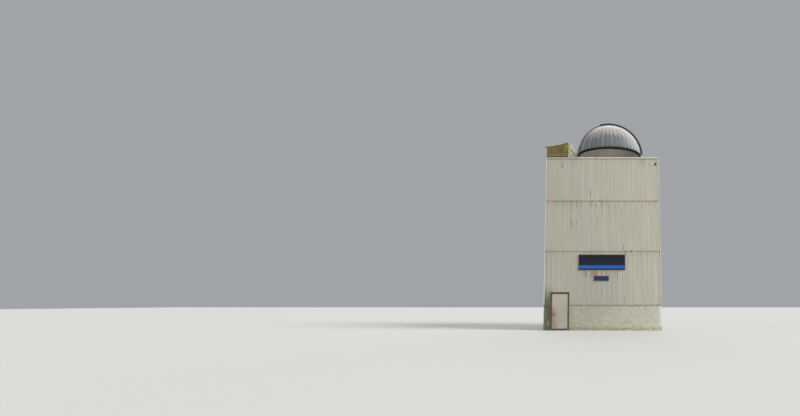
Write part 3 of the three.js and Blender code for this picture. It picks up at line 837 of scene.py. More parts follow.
# %% Fittings round the door
cap_top = DOOR_HEAD + 0.002
cap = bars(
    0.001,
    ((-3.118, -3.528, cap_top - 0.004), (-1.947, -3.482, cap_top)),
    ((-3.118, -3.528, cap_top - 0.016), (-1.947, -3.524, cap_top)),
)
place("door_drip_cap", cap, FRAME_BROWN, "tower", "frame", smooth=0)
threshold = bars(
    0.001,
    ((-2.988, -3.498, 0.050), (-2.072, -3.42, 0.0545)),
    ((-2.988, -3.462, 0.0545), (-2.072, -3.45, 0.058)),
)
place("door_threshold", threshold, STEEL, "tower", "steel", smooth=0)
leaf_front = -3.495
cylinder_lock = joined(
    rod(0.024, (-2.92, leaf_front + 0.001, 1.02), (-2.92, leaf_front - 0.006, 1.02), 24),
    rod(0.015, (-2.92, leaf_front, 1.02), (-2.92, leaf_front - 0.010, 1.02), 20),
    bar((-2.9215, leaf_front - 0.011, 1.014), (-2.9185, leaf_front - 0.009, 1.026), 0.0004),
)
place("door_lock", cylinder_lock, DARK_STEEL, "entrance_door", "steel")
sweep = joined(
    bar((-2.975, leaf_front - 0.004, 0.064), (-2.225, leaf_front + 0.001, 0.105), 0.001),
    bar((-2.205, leaf_front - 0.012, 0.085), (-2.100, leaf_front + 0.001, 0.125)),
    rod(0.006, (-2.150, leaf_front - 0.018, 0.068), (-2.150, leaf_front - 0.018, 0.135), 12),
)
place("door_sweep", sweep, BLACK, "entrance_door", "door")
closures = bars(
    0.002,
    ((-3.112, -3.506, 0.0), (-3.094, -3.482, DOOR_HEAD)),
    ((-1.971, -3.506, 0.0), (-1.953, -3.482, DOOR_HEAD)),
)
place("door_closures", closures, WALL_PAINT, "tower", "frame", smooth=0)

# %% [markdown]
# ## The two boards
# A large navy board hangs on the front wall with a small one under it. Both are bare. The large one is
# near black at its top, turns navy lower down and has a plain blue band above its lower edge, so its
# finish reads the height of a point and nothing else. A folded edge strip and screws finish the boards.

# %% Board finish, edges and screws
def board_face():
    board = Finish("board_face", roughness=0.35)
    low, high = 3.53, 4.43
    up = (board.z - low) / (high - low)
    dirt = board.noise(0.3, (1, 1, 0.4), 4.0, 3.0).within(0.5, 0.8)
    board.first_coat(up.within(0.3, 0.7), (24, 32, 62), (16, 19, 28))
    board.coat(up.within(0.29, 0.28), (28, 98, 172))
    board.coat(up.within(0.095, 0.085), (18, 26, 50))
    board.coat(board.z.within(3.2, 3.19), (34, 50, 92))
    board.coat(dirt * 0.05, (110, 114, 120))
    board.set("Roughness", dirt * 0.2 + 0.5)
    board.set("Specular IOR Level", 0.25)
    return board.done()


def board_edge(low, high):
    """The edge strip of a board between two corners of its box, with six screws."""
    x0, out, z0 = low[0], low[1] - 0.002, low[2]
    x1, z1 = high[0], high[2]
    wide, lip = 0.012, 0.003
    strips = bars(
        0.001,
        ((x0 - lip, out, z0 - lip), (x0 + wide, -3.5, z1 + lip)),
        ((x1 - wide, out, z0 - lip), (x1 + lip, -3.5, z1 + lip)),
        ((x0, out, z0 - lip), (x1, -3.5, z0 + wide)),
        ((x0, out, z1 - wide), (x1, -3.5, z1 + lip)),
    )
    screws = [
        rod(0.006, (x, out - 0.0025, z), (x, out + 0.002, z), 8, 0.0008)
        for x in (x0 + 0.05, (x0 + x1) / 2, x1 - 0.05)
        for z in (z0 + 0.006, z1 - 0.006)
    ]
    return joined(strips, *screws)


BOARD_FACE = board_face()
for name in ("name_board", "small_board"):
    place(f"{name}_edge", board_edge(*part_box(name)), BLACK, "tower", "board", smooth=0)

# %% [markdown]
# ## Small things on the front wall
# Near the top right corner is a small square hood over a cable entry, and a second mark beside it. They
# are only a hand wide, and without them the wall looks like a diagram. The hood is a box of thin plates
# with slats across its mouth.

# %% Cable hood
plates = bars(
    0.001,
    ((3.235, -3.545, 10.005), (3.335, -3.482, 10.012)),
    ((3.235, -3.545, 10.005), (3.240, -3.482, 10.115)),
    ((3.330, -3.545, 10.005), (3.335, -3.482, 10.115)),
    ((3.235, -3.545, 10.108), (3.335, -3.482, 10.115)),
    ((3.24, -3.515, 10.012), (3.33, -3.482, 10.108)),
)
slats = bars(0.0005, *[((3.24, -3.54, z), (3.33, -3.52, z + 0.004)) for z in (10.03, 10.05, 10.07, 10.09)])
place("cable_hood", joined(plates, slats), DARK_STEEL, "tower", "steel", smooth=0)

# %% [markdown]
# ## The stair head
# The little house over the stair stands on the front left corner of the roof. Its front is a panel under
# olive moss with brown patches, closed below by a dark strip that is a joint and its painted shadow, and a
# sheet in the wall's colour is drawn up over the coping in front of it. Right of the panel are a rough
# white board and a strip in shade.

# %% Mossy panel
def mossy():
    panel = Finish("mossy_boards", roughness=0.85)
    clouds = panel.noise(0.5)
    grow = panel.noise(0.35, (1, 1, 0.8), 5.0, 7.0)
    panel.first_coat(clouds.within(0.3, 0.7), (114, 102, 50), (102, 92, 56))
    brown = panel.noise(0.45, (1, 1, 1), 3.0, 27.0).within(0.5, 0.62) * panel.x.within(-2.5, -2.9)
    panel.coat(brown * 0.7, (126, 98, 50))
    green = grow * 0.8 + panel.x.within(-3.0, -2.4) * 0.15 + panel.z.within(10.5, 11.3) * 0.15
    panel.coat(green.within(0.55, 0.75) * 0.6, (96, 98, 38))
    pale = panel.z.within(10.75, 10.55) * grow.within(0.6, 0.4)
    panel.coat(pale * 0.5, (132, 126, 96))
    wedge = (panel.z - 10.6) * 0.48 - abs(panel.x + 2.56) + grow * 0.1
    panel.coat(wedge.within(0.0, 0.12) * panel.z.within(11.2, 11.0) * 0.7, (82, 80, 28))
    bright = panel.x.within(-2.45, -2.3) * panel.z.within(10.85, 11.05)
    panel.coat(bright * 0.6, (136, 130, 52))
    dark = panel.noise(0.16, (1, 1, 0.35), 5.0, 19.0).within(0.55, 0.75)
    panel.coat(dark * 0.5, (72, 66, 36))
    panel.bump(panel.noise(0.02, (1, 1, 0.3)), 0.002, 0.6)
    return panel.done()


MOSSY = mossy()

# %% [markdown]
# The edges of the roof are thin and pale. Every board is a bar or a flat outline pushed to its thickness,
# and the sloping ones are laid with a matrix that points from one end to the other. The roof climbs from
# the eave to the ridge and falls steeply to the knee.

# %% Boards on its front
EAVE = Vector((-3.5, 0, 11.15))
RIDGE = Vector((-2.10, 0, 11.41))
KNEE = Vector((-1.64, 0, 10.715))
FACE_Y = -3.5


def laid(at, way, rise):
    """The matrix that lays X along one direction and Z along another."""
    return Matrix.Translation(at) @ Matrix((way, (0, 1, 0), rise)).transposed().to_4x4()


def board_along(start, end, wide, thick, drop=0.0):
    """A board on the stair head's front whose top edge runs between two points."""
    way = (end - start).normalized()
    down = Vector((way.z, 0, -way.x))
    shape = bar((0, -thick, 0), ((end - start).length, 0.0, wide), 0.003)
    return moved(shape, laid(start + down * drop + Vector((0, FACE_Y, 0)), way, down))


def plate(outline, y, depth):
    """A flat outline of X and Z at a place on Y, pushed to its thickness."""
    shape = flat([(x, y, z) for x, z in outline])
    pushed = bmesh.ops.extrude_face_region(shape, geom=shape.faces[:])["geom"]
    bmesh.ops.translate(shape, vec=(0, depth, 0), verts=corners_of(pushed))
    bmesh.ops.recalc_face_normals(shape, faces=shape.faces)
    return shape


def face_board(outline, thick):
    return broken(plate(outline, FACE_Y - thick, thick - 0.0003), 0.002)


trims = joined(
    board_along(RIDGE, KNEE, 0.042, 0.016),
    bar((-3.503, -3.512, 10.512), (-3.476, -3.5, 11.146)),
    bar((-3.512, -2.43, 10.512), (-3.5, -2.398, 11.146)),
)
# Dark strips: a joint at the panel's foot with its painted shadow, and a painted shadow under the roof's
# front edge.
dark_joint_and_shadow = joined(
    bar((-3.47, -3.506, 10.4985), (-2.132, -3.5, 10.552), 0.001),
    board_along(EAVE, RIDGE, 0.014, 0.006, 0.002),
)
apron = bars(
    0.001,
    ((-3.5105, -3.5105, 10.392), (-1.632, -3.5055, 10.496)),
    ((-3.5105, -3.506, 10.392), (-3.5055, -2.402, 10.496)),
)
tall = [(-2.13, 10.405), (-1.85, 10.405), (-1.85, 11.02), (-2.10, 11.395), (-2.13, 11.39)]
white = face_board(tall, 0.018)
shaded = face_board([(-1.848, 10.503), (-1.642, 10.503), (-1.642, 10.70), (-1.848, 11.01)], 0.008)
place("stair_head_trims", trims, TRIM, "tower", "stair_head", smooth=0)
place("stair_head_white_board", white, ROUGH_WHITE, "tower", "stair_head", smooth=0)
place("stair_head_shaded_board", shaded, CHEEK_BOARD, "tower", "stair_head", smooth=0)
place("stair_head_foot_joint", dark_joint_and_shadow, DARK_STEEL, "tower", "stair_head", smooth=0)
place("stair_head_apron", apron, WALL_PAINT, "tower", "siding", smooth=0)

# %% [markdown]
# The sloping hatch has two leaves with battens across them. Each leaf hangs on two strap hinges at the
# ridge, and a handle of round bar stands where the leaves meet. All of it is set out flat and then laid
# on the slope.

# %% Hatch boards and their irons
fall = (KNEE - RIDGE).normalized()
normal = Vector((-fall.z, 0, fall.x))
on_hatch = laid(RIDGE + normal * 0.0555 + Vector((0.008, -2.95, 0)), fall, normal)
length = (KNEE - RIDGE).length
half = 0.558
leaves = bars(
    0.003,
    ((0.07, -half, 0.0), (length - 0.03, -0.004, 0.012)),
    ((0.07, 0.004, 0.0), (length - 0.03, half, 0.012)),
    *[((s, -half + 0.03, 0.012), (s + 0.07, half - 0.03, 0.024)) for s in (0.12, 0.40, 0.68)],
)
place("stair_head_hatch_boards", moved(leaves, on_hatch), TRIM, "tower", "trim", smooth=0)
straps = (-0.42, -0.12, 0.12, 0.42)
irons = joined(
    bars(0.001, *[((0.03, y - 0.02, 0.024), (0.30, y + 0.02, 0.030)) for y in straps]),
    *[rod(0.011, (0.028, y - 0.03, 0.018), (0.028, y + 0.03, 0.018), 12) for y in straps],
    rod(0.007, (0.60, -0.06, 0.05), (0.60, 0.06, 0.05), 10),
    *[rod(0.007, (0.60, y, 0.012), (0.60, y, 0.053), 10) for y in (-0.06, 0.06)],
)
place("stair_head_irons", moved(irons, on_hatch), DARK_STEEL, "tower", "steel", smooth=40)

# %% [markdown]
# ## The roof deck
# The flat roof has a grey membrane laid in strips a metre wide. Each strip laps over the next, and that
# lap is real here: thin bars run from front to back, left out where the drum and the stair head stand.
# A domed outlet with a cage of flat bars drains the far corner.

# %% Roof membrane
def membrane():
    roof = Finish("roof_membrane", roughness=0.85)
    roof.first_coat(roof.noise(1.2).within(0.3, 0.7), (150, 148, 140), (134, 131, 122))
    puddles = roof.noise(0.9, (1, 1, 1), 6.0, 13.0).within(0.54, 0.66)
    roof.coat(puddles * 0.6, (112, 106, 92))
    rims = abs(puddles - 0.5).within(0.5, 0.0)
    roof.coat(rims * 0.25, (92, 86, 70))
    roof.bump(roof.noise(0.01), 0.0008, 0.6)
    return roof.done()


MEMBRANE = membrane()

# %% Laps and the outlet
DECK_EDGE = 3.32
STAIR_BACK = -2.33
CLEAR_OF_DRUM = 2.09
HALF_LAP = 0.05
runs = []
for x in (-2.7, -1.7, -0.7, 0.3, 1.3, 2.3, 3.0):
    start = STAIR_BACK if x < -1.4 else -DECK_EDGE
    near = abs(x - AXIS_X) - HALF_LAP
    if near < CLEAR_OF_DRUM:
        reach = math.sqrt(CLEAR_OF_DRUM**2 - near**2)
        runs += [(x, start, -reach), (x, reach, DECK_EDGE)]
    else:
        runs += [(x, start, DECK_EDGE)]
low, top = DECK + 0.0003, DECK + 0.0033
laps = bars(0.001, *[((x - HALF_LAP, y0, low), (x + HALF_LAP, y1, top)) for x, y0, y1 in runs])
place("roof_laps", laps, MEMBRANE, "tower", "deck", smooth=0)
cap = [(0, 0.001), (0.075, 0.001), (0.075, 0.006), (0.06, 0.03), (0.02, 0.045), (0, 0.046)]
cage = repeated(bar((0.045, -0.006, 0.004), (0.09, 0.006, 0.05), 0.001), turns(range(0, 360, 30)))
outlet = moved(joined(lathe(cap, 16), cage), Matrix.Translation((2.95, 2.95, DECK)))
place("roof_outlet", outlet, DARK_STEEL, "tower", "steel")

# %% [markdown]
# ## The drum wall
# The round wall under the dome is framed and painted, so it is smooth where the solids have flat panels.
# Its cross-section is drawn once, with a skirting on the inside and a flashing at the foot outside, and
# spun round the dome's axis from one side of the low door to the other. Battens stand on its outside.

# %% Drum wall, spun round the dome's axis
DOOR_FROM, DOOR_TO = 189.0, 207.0


def drum_ring(outline):
    """An outline of radius and level turned about the dome's axis, all round but for the low door."""
    points = [(radius, 0, level) for radius, level in outline]
    return moved(swept(points, (0, 0, 1), DOOR_TO - 360, DOOR_FROM, 114), AXIS)


def drum_paint():
    """A greige paint, lighter on the side of the low door, with painted shade that darkens it towards +X.
    """
    drum = Finish("drum_paint", roughness=0.8)
    # Painted shade: the drum darkens from its left to its right, as seen from the front.
    drum.first_coat((drum.x - AXIS_X).within(-0.3, 1.3), (146, 143, 129), (80, 77, 69))
    drum.coat(drum.noise(1.8, (1, 1, 0.6)).within(0.3, 0.7) * 0.3, (98, 93, 82))
    drum.bump(drum.noise(0.05), 0.0005, 0.5)
    return drum.done()


DRUM = drum_paint()
foot, top = DECK + 0.001, DRUM_TOP
rim = [(2.079, top - 0.003), (2.076, top), (1.961, top), (1.958, top - 0.003)]
nodes = [f"drum_wall_{side}" for side, turn in WALLS]
place("drum_wall", drum_ring([(1.958, foot), (2.079, foot), *rim]), DRUM, "tower", "drum", nodes)
edge = [(1.9575, DECK + 0.10), (1.949, DECK + 0.10), (1.944, DECK + 0.094)]
place("drum_skirting", drum_ring([(1.944, foot), (1.9575, foot), *edge]), WHITE, "tower", "drum")
bed = [(2.0795, DECK + 0.0005), (2.125, DECK + 0.0005), (2.125, DECK + 0.003)]
upstand = [(2.0835, DECK + 0.008), (2.0835, DECK + 0.15), (2.0795, DECK + 0.152)]
place("drum_foot_flashing", drum_ring([*bed, *upstand]), DARK_STEEL, "tower", "drum")
batten = bar((2.0785, -0.03, DECK + 0.155), (2.084, 0.03, DRUM_TOP - 0.01))
battens = repeated(batten, turns(range(-150, 188, 18)))
place("drum_battens", moved(battens, AXIS), DRUM, "tower", "drum", smooth=0)

# %% [markdown]
# The low door is a leaf with a raised frame, white towards the room and greige outside. One mask on the
# distance from the dome's axis tells the two sides apart. It is set out on the X axis and turned to its
# place, and a knob is spun for either side.

# %% The low door of the drum
def drum_door_paint():
    """White towards the room and the drum's own greige outside."""
    door = Finish("drum_door_paint", roughness=0.6)
    across = door.x - AXIS_X
    radius = (across * across + door.y * door.y).math("SQRT")
    grime = door.noise(0.3, (1, 1, 0.4)).within(0.4, 0.7)
    outside = door.mix(grime, (140, 136, 122), (122, 117, 102))
    inside = door.mix(grime, (224, 224, 220), (206, 205, 198))
    door.first_coat(radius.math("GREATER_THAN", 2.031), inside, outside)
    return door.done()


DRUM_DOOR = drum_door_paint()
TO_DOOR = AXIS @ Matrix.Rotation(math.radians((DOOR_FROM + DOOR_TO) / 2), 4, "Z")
half = 0.29
sides = (-half + 0.02, half - 0.09)
levels = (DECK + 0.05, DRUM_TOP - 0.13)
low_door = joined(
    bar((2.002, -half, DECK + 0.03), (2.032, half, DRUM_TOP - 0.04), 0.003),
    *[bar((2.032, y, DECK + 0.05), (2.040, y + 0.07, DRUM_TOP - 0.06)) for y in sides],
    *[bar((2.032, -half + 0.09, z), (2.040, half - 0.09, z + 0.07)) for z in levels],
)
jambs = bars(
    0.003,
    ((1.955, -0.325, foot), (2.075, -half - 0.003, DRUM_TOP - 0.001)),
    ((1.955, half + 0.003, foot), (2.075, 0.325, DRUM_TOP - 0.001)),
    ((1.955, -half, DRUM_TOP - 0.035), (2.075, half, DRUM_TOP - 0.001)),
    ((1.955, -half, foot), (2.075, half, DECK + 0.026)),
)
knob = [(0.02, 0.004), (0.008, 0.006), (0.008, 0.02), (0.018, 0.028), (0.018, 0.04), (0.012, 0.046)]
knob = [(0, 0), (0.02, 0), *knob, (0, 0.047)]
ends = (((2.002, -0.22, 10.95), (1.0, -0.22, 10.95)), ((2.040, -0.24, 10.95), (3.0, -0.24, 10.95)))
knobs = joined(*[lathe(knob, 20, towards(*pair)) for pair in ends])
place("drum_door_leaf", moved(low_door, TO_DOOR), DRUM_DOOR, "tower", "door", ("drum_door",), smooth=0)
place("drum_door_frame", moved(jambs, TO_DOOR), DRUM_DOOR, "tower", "drum", smooth=0)
place("drum_door_knobs", moved(knobs, TO_DOOR), DARK_STEEL, "tower", "steel")

# %% [markdown]
# ## Roller track
# A ring of steel lies on the drum and carries twelve small wheels in brackets, on which the dome turns.
# From the ground it is only the black gap under the dome, but from the roof the wheels can be seen. On
# the room's side a pale guard strip stands in front of them, the light line at the top of the wall.

# %% Track, brackets and wheels
HUB = 11.5203
wheel = joined(
    rod(0.0235, (2.004, 0, HUB), (2.036, 0, HUB), 24, 0.003),
    rod(0.007, (1.988, 0, HUB), (2.052, 0, HUB), 12),
    bar((1.990, -0.034, 11.4965), (1.998, 0.034, 11.5345)),
    bar((2.042, -0.034, 11.4965), (2.050, 0.034, 11.5345)),
    bar((1.990, -0.034, 11.4965), (2.050, -0.028, 11.512), 0.001),
    bar((1.990, 0.028, 11.4965), (2.050, 0.034, 11.512), 0.001),
)
wheels = repeated(wheel, turns(range(15, 360, 30)))
flange = [(1.99, 11.497), (1.99, 11.4945), (1.952, 11.4945)]
rail = [(1.952, 11.4805), (2.088, 11.4805), (2.088, 11.4945), (2.05, 11.4945), (2.05, 11.497), *flange]
track = moved(joined(hoop(rail, 120), wheels), AXIS)
place("roller_ring", track, DARK_STEEL, "tower", "steel", ("roller_track",), smooth=40)
guard = hoop(oblong(1.9495, 1.9515, 11.4775, 11.5385), 120, AXIS)
place("track_guard", guard, TRIM, "tower", "steel", smooth=40)

# %% [markdown]
# ## Weathered zinc of the dome
# The dome is made of forty-four galvanised gores. Each sheet aged in its own way, so a number drawn from
# the gore's place round the axis shifts its tone a little. Dirt runs down the sheets. Along the seams dirt
# and painted shade darken wide bands round dark seam lines, and painted shade darkens the foot of the dome
# and its lower right. A painted reflection of the sky makes the crown warm and bright, the middle is a
# painted darker reflection, and painted highlights lighten the left edge and the right rim. Direction
# round the axis and height are both worked out from the position, so the finish needs no unwrapped map.

# %% Zinc finish
GORES = 44


def zinc():
    dome = Finish("dome_zinc", roughness=0.6, metallic=0.15)
    # Painted reflection: the crown colour is the bright warm sky, the middle colour a darker reflected
    # grey.
    crown, middle = (252, 240, 230), (112, 116, 120)
    across = dome.x - AXIS_X
    around = dome.y.math("ARCTAN2", across) * (GORES / math.tau)
    height = (dome.z - DRUM_TOP - RING_TOP) / 2.1
    number = dome.node("TexWhiteNoise", {"noise_dimensions": "1D"}, {"W": around.math("FLOOR")})
    flow = dome.node("CombineXYZ", {}, {"X": around * 2.5, "Y": height * 0.7, "Z": 3.0})
    runs = dome.node("TexNoise", {}, {"Vector": flow, "Scale": 1.6, "Detail": 5.0})
    clouds = dome.noise(0.7)
    spangle = dome.node("TexVoronoi", {}, {"Vector": dome.at, "Scale": 45.0})
    dome.first_coat((height + clouds * 0.2).within(0.45, 1.0), middle, crown)
    # Painted shade: darker towards the foot of the dome, and on its lower right.
    dome.coat(height.within(0.3, 0.0) * 0.7, (98, 100, 99))
    shaded = height.within(0.5, 0.2) * across.within(-0.2, 0.8) * across.within(2.1, 1.5)
    dome.coat(shaded * 0.4, (82, 86, 88))
    # Painted highlights: lighter at the left edge and up the right rim.
    dome.coat(across.within(-1.1, -2.0) * 0.2, (160, 162, 166))
    dome.coat((across + height * 1.1).within(1.3, 2.4) * 0.85, (236, 236, 234))
    dome.coat(number * 0.15, dome.mix(clouds, middle, crown))
    dome.coat(runs.within(0.46, 0.72) * 0.45, (120, 124, 124))
    part = around.math("FRACT")
    edge = part.math("MINIMUM", 1 - part)
    # Along each seam: a wide darker band of dirt and painted shade, and a dark seam line.
    dome.coat(edge.within(0.25, 0.0) * height.within(1.0, 0.5) * 0.6, (80, 85, 87))
    dome.coat(edge.within(0.05, 0.03) * 0.4, (60, 61, 64))
    dome.set("Roughness", runs * 0.2 + clouds * 0.15 + 0.45)
    dome.bump(spangle + clouds * 2, 0.0006, 0.35)
    return dome.done()


ZINC = zinc()

# %% [markdown]
# ## The gores
# One gore is two arcs spun from a point at the springing, set apart by a gore's angle less a hair, and
# bridged. Its long edges are folded inwards by 35 mm, where the real sheets are bolted to each other, and
# the fold is rounded a little, so a fine groove is left between two gores. The gore is copied round the
# axis, and two cutting planes take out what would cross the slit.

# %% One gore, copied round
SPHERE = 2.196
FOOT_ANGLE = math.asin(RING_TOP / SPHERE)
HALF_GORE = math.radians(180 / GORES) - 0.0008
SLIT_EDGE = 0.6375


def gore():
    bm = bmesh.new()
    foot = bm.verts.new((SPHERE * math.cos(FOOT_ANGLE), 0, RING_TOP))
    climb = math.radians(78) - FOOT_ANGLE
    bmesh.ops.spin(bm, geom=[foot], cent=(0, 0, 0), axis=(0, -1, 0), angle=climb, steps=26)
    first = bm.verts[:] + bm.edges[:]
    second = bmesh.ops.duplicate(bm, geom=first)["geom"]
    for geom, side in ((first, -1), (second, 1)):
        turn = Matrix.Rotation(side * HALF_GORE, 3, "Z")
        bmesh.ops.rotate(bm, cent=(0, 0, 0), matrix=turn, verts=corners_of(geom))
    rims = bm.edges[:]
    bmesh.ops.bridge_loops(bm, edges=rims)
    folded = bmesh.ops.extrude_edge_only(bm, edges=rims)["geom"]
    bmesh.ops.scale(bm, vec=(0.984,) * 3, verts=corners_of(folded))
    return facing(broken(bm, 0.004, 2, rims), (1, 0, 1))


gores = repeated(gore(), turns([360 / GORES * (i + 0.5) for i in range(GORES)]))
for side in (-SLIT_EDGE, SLIT_EDGE):
    cut(gores, (0, side, 0), (0, 1, 0))
without(gores, lambda middle: abs(middle.y) < SLIT_EDGE)
nodes = [f"dome_gores_{i}" for i in range(1, 7)]
place_sheet(0.0012, "dome_gores", moved(gores, DOME), ZINC, "dome", "galvanised", nodes)

# %% [markdown]
# ## Base ring
# The gores stand on a rolled ring, which also carries the dome on its wheels. Inside, small clips hold
# each seam to it. The ring is spun from its section, and one clip is copied round.

# %% Ring, gutter lip and clips
section = [
    (1.992, 11.5453), (2.172, 11.5453), (2.1755, 11.549), (2.1755, 11.5795), (2.166, 11.5795),
    (2.166, 11.56), (2.03, 11.56), (2.03, 11.579), (1.996, 11.579), (1.992, 11.575),
]
# The ring's near black is partly painted shade: with the gap under it, it makes the dark band under the
# dome.
ring = hoop(section, 160, AXIS)
place("base_ring", ring, RING_BLACK, "dome", "galvanised", ("dome_base_ring",), smooth=40)
clip = joined(
    bar((2.07, -0.022, RING_TOP), (2.157, 0.022, RING_TOP + 0.004), 0.001),
    bar((2.150, -0.022, RING_TOP), (2.156, 0.022, RING_TOP + 0.06), 0.001),
    rod(0.007, (2.10, 0, RING_TOP + 0.003), (2.10, 0, RING_TOP + 0.011), 6),
)
seams = [360 / GORES * i for i in range(GORES)]
clips = repeated(clip, turns([a for a in seams if abs(2.16 * math.sin(math.radians(a))) > 0.70]))
place("ring_clips", moved(clips, DOME), FRAME_ZINC, "dome", "galvanised", smooth=0)

# %% [markdown]
# ## Arch beams and rear panel
# Two beams run over the dome from the front of the slit to its back, and the shutter rides on them. Each
# is a section turned about the slit's own axis. Every third field of its inner and slit-side faces is
# inset and pushed in, which makes the long slots of the real channels.

# %% Beams with slots
BEAM_IN, BEAM_OUT = 2.031, 2.1742


def footed(shape):
    """A shape of the dome, cut level where it stands on the ring."""
    made = cut(shape, (0, 0, RING_TOP + 0.0004), (0, 0, -1), clear_outer=True)
    rim = [part for part in made["geom_cut"] if isinstance(part, bmesh.types.BMEdge)]
    bmesh.ops.edgeloop_fill(shape, edges=rim)
    bmesh.ops.recalc_face_normals(shape, faces=shape.faces)
    return shape


def has_slot(face, side):
    middle = face.calc_center_median()
    angle = math.degrees(math.atan2(middle.z, middle.x))
    inward = face.normal.dot(Vector((middle.x, 0, middle.z)).normalized()) < -0.9
    towards_slit = face.normal.y * side < -0.9 and abs(middle.y) < 0.53
    return 6 < angle < 174 and (inward or towards_slit) and int(angle / 2.933) % 3 == 1


for name, side in (("front", -1), ("back", 1)):
    beam = footed(arched(oblong(BEAM_IN, BEAM_OUT, 0.525 * side, 0.635 * side), 2, 178, 60))
    slots = [face for face in beam.faces if has_slot(face, side)]
    bmesh.ops.inset_individual(beam, faces=slots, thickness=0.032, depth=-0.006)
    stands_for = (f"arch_beam_{name}",)
    place(f"slit_beam_{name}", moved(beam, DOME), FRAME_ZINC, "dome", "galvanised", stands_for, smooth=20)

# %% [markdown]
# A dark angle lies over the outer edge of each beam, and the shutter rolls on it. Behind the slit the gap
# between the beams is closed by three curved panels that lap like tiles and are riveted across.

# %% Rails on the beams, and the rear panels
REAR_IN, REAR_OUT = 2.102, 2.138
SKIN = 0.004


def beam_rail(side):
    """An angle over the outer edge of a beam."""
    low, seat, top = 2.140, BEAM_OUT + 0.0006, 2.181
    near, far, out = 0.526 * side, 0.6356 * side, 0.6394 * side
    outline = [(low, far), (seat, far), (seat, near), (top, near), (top, out), (low, out)]
    return footed(arched(outline, 2, 178, 90))


def channel(inner, outer, half):
    """The section of a sheet with a flange down each side."""
    under, inside = outer - SKIN, half - SKIN
    back = [(inner, inside), (under, inside), (under, -inside), (inner, -inside)]
    return [(inner, -half), (outer, -half), (outer, half), (inner, half), *back]


def rivets(head, angle, radius, pitch, count):
    """A row of rivet heads across a curved sheet, at an angle over the horizon."""
    up = Matrix.Rotation(math.radians(-angle), 4, "Y")
    spots = shifts(*[(radius, pitch * (i - (count - 1) / 2), 0) for i in range(count)])
    return repeated(lathe(head, 8, ALONG_X), [up @ spot for spot in spots])


def rear_plate(start, end, sink):
    return arched(channel(REAR_IN, REAR_OUT - sink, 0.5242), start, end, 10)


rails = joined(beam_rail(-1), beam_rail(1))
place("beam_rails", moved(rails, DOME), DARK_STEEL, "dome", "galvanised", smooth=20)
head = [(0, 0.003), (0.004, 0.0026), (0.007, 0)]
rows = ((129.3, 0.0), (153.3, 0.0045), (106.0, 0.0))
rear = joined(
    rear_plate(105, 129.6, 0.0),
    rear_plate(129, 153.6, 0.0045),
    footed(rear_plate(153, 178, 0.009)),
    *[rivets(head, angle, REAR_OUT - sink, 0.115, 9) for angle, sink in rows],
)
place("rear_plates", moved(rear, DOME), ZINC, "dome", "galvanised", ("rear_panel",), smooth=20)

# %% [markdown]
# ## The shutters
# The upper shutter is a curved navy sheet with a deep flange down each side, stiffened by ribs across its
# inside and spliced from four lengths; its navy is so dark because it is partly painted shade. Its shoes
# grip the beams. The lower shutter is the same sheet, hinged at its foot, so one function makes both
# between two angles.

# %% Curved sheets with flanges
HALF_SHUTTER = 0.66
SHUTTER_IN, SHUTTER_OUT = 2.120, 2.2245


def shutter(start, end, ribs, splices):
    half, out = HALF_SHUTTER, SHUTTER_OUT
    steps = max(4, round((end - start) / 2.5))
    rib = oblong(out - 0.034, out - SKIN, -half + 0.03, half - 0.03)
    strap = oblong(out - 0.001, out + 0.002, -half + 0.001, half - 0.001)
    head = [(0, 0.003), (0.005, 0.0024), (0.008, 0)]
    rims = [oblong(out - 0.001, out + 0.014, y, y + 0.006) for y in (-half, half - 0.006)]
    return joined(
        arched(channel(SHUTTER_IN, out, half), start, end, steps),
        *[arched(rim, start, end, steps) for rim in rims],
        *[arched(rib, angle, angle + 0.5, 1) for angle in ribs],
        *[arched(strap, angle - 0.75, angle + 0.75, 1) for angle in splices],
        *[rivets(head, angle, out + 0.002, 0.11, 12) for angle in splices],
    )


upper = moved(shutter(31.5, 109, (38, 51, 64, 77, 90, 103), (51, 70, 90)), DOME)
place("upper_shutter_sheet", upper, NAVY, "upper_shutter", "shutter", ("upper_shutter",), smooth=20)
sides = [oblong(2.126, 2.1695, y - 0.0075, y + 0.0075) for y in (-0.648, 0.648)]
shoes = joined(*[arched(shoe, angle, angle + 5, 2) for shoe in sides for angle in (40, 97)])
place("upper_shutter_shoes", moved(shoes, DOME), BLACK, "upper_shutter", "black", smooth=20)

# %% [markdown]
# A light frame closes the lower end of the upper shutter: two plates, six uprights between them and a
# strip at the back. The lower shutter ends in two hinge leaves with knuckles, which sit on the sill.

# %% End frame and lower shutter
across = 0.514
posts = [oblong(2.058, 2.177, y - 0.006, y + 0.006) for y in (-0.508, -0.30, -0.10, 0.10, 0.30, 0.508)]
end_frame = joined(
    arched(oblong(2.052, 2.058, -across, across), 31.6, 35.7, 2),
    arched(oblong(2.177, 2.183, -across, across), 31.6, 35.7, 2),
    *[arched(post, 31.8, 35.5, 1) for post in posts],
    arched(oblong(2.058, 2.09, -across, across), 35.4, 35.7, 1),
)
moved(end_frame, DOME)
place("end_frame", end_frame, FRAME_ZINC, "upper_shutter", "galvanised", ("shutter_end_frame",), smooth=20)
HINGE_X, HINGE_Z = 2.210, 0.115
leaf = joined(
    bar((HINGE_X - 0.007, -0.03, HINGE_Z), (HINGE_X + 0.006, 0.03, 0.168)),
    rod(0.0135, (HINGE_X, -0.03, HINGE_Z), (HINGE_X, 0.03, HINGE_Z), 20),
)
repeated(leaf, shifts((0, -0.2995, 0), (0, 0.2995, 0)))
lower = moved(joined(shutter(4.1, 31, (10, 18, 26), (18,)), leaf), DOME)
place("lower_shutter_sheet", lower, NAVY, "lower_shutter", "shutter", ("lower_shutter",), smooth=20)

# %% [markdown]
# ## The pier
# A black steel column stands free of the room's furniture and carries the telescope. It is one spun
# profile with a flange at its foot, eight bolts round the flange, and a bare metal plate on top.

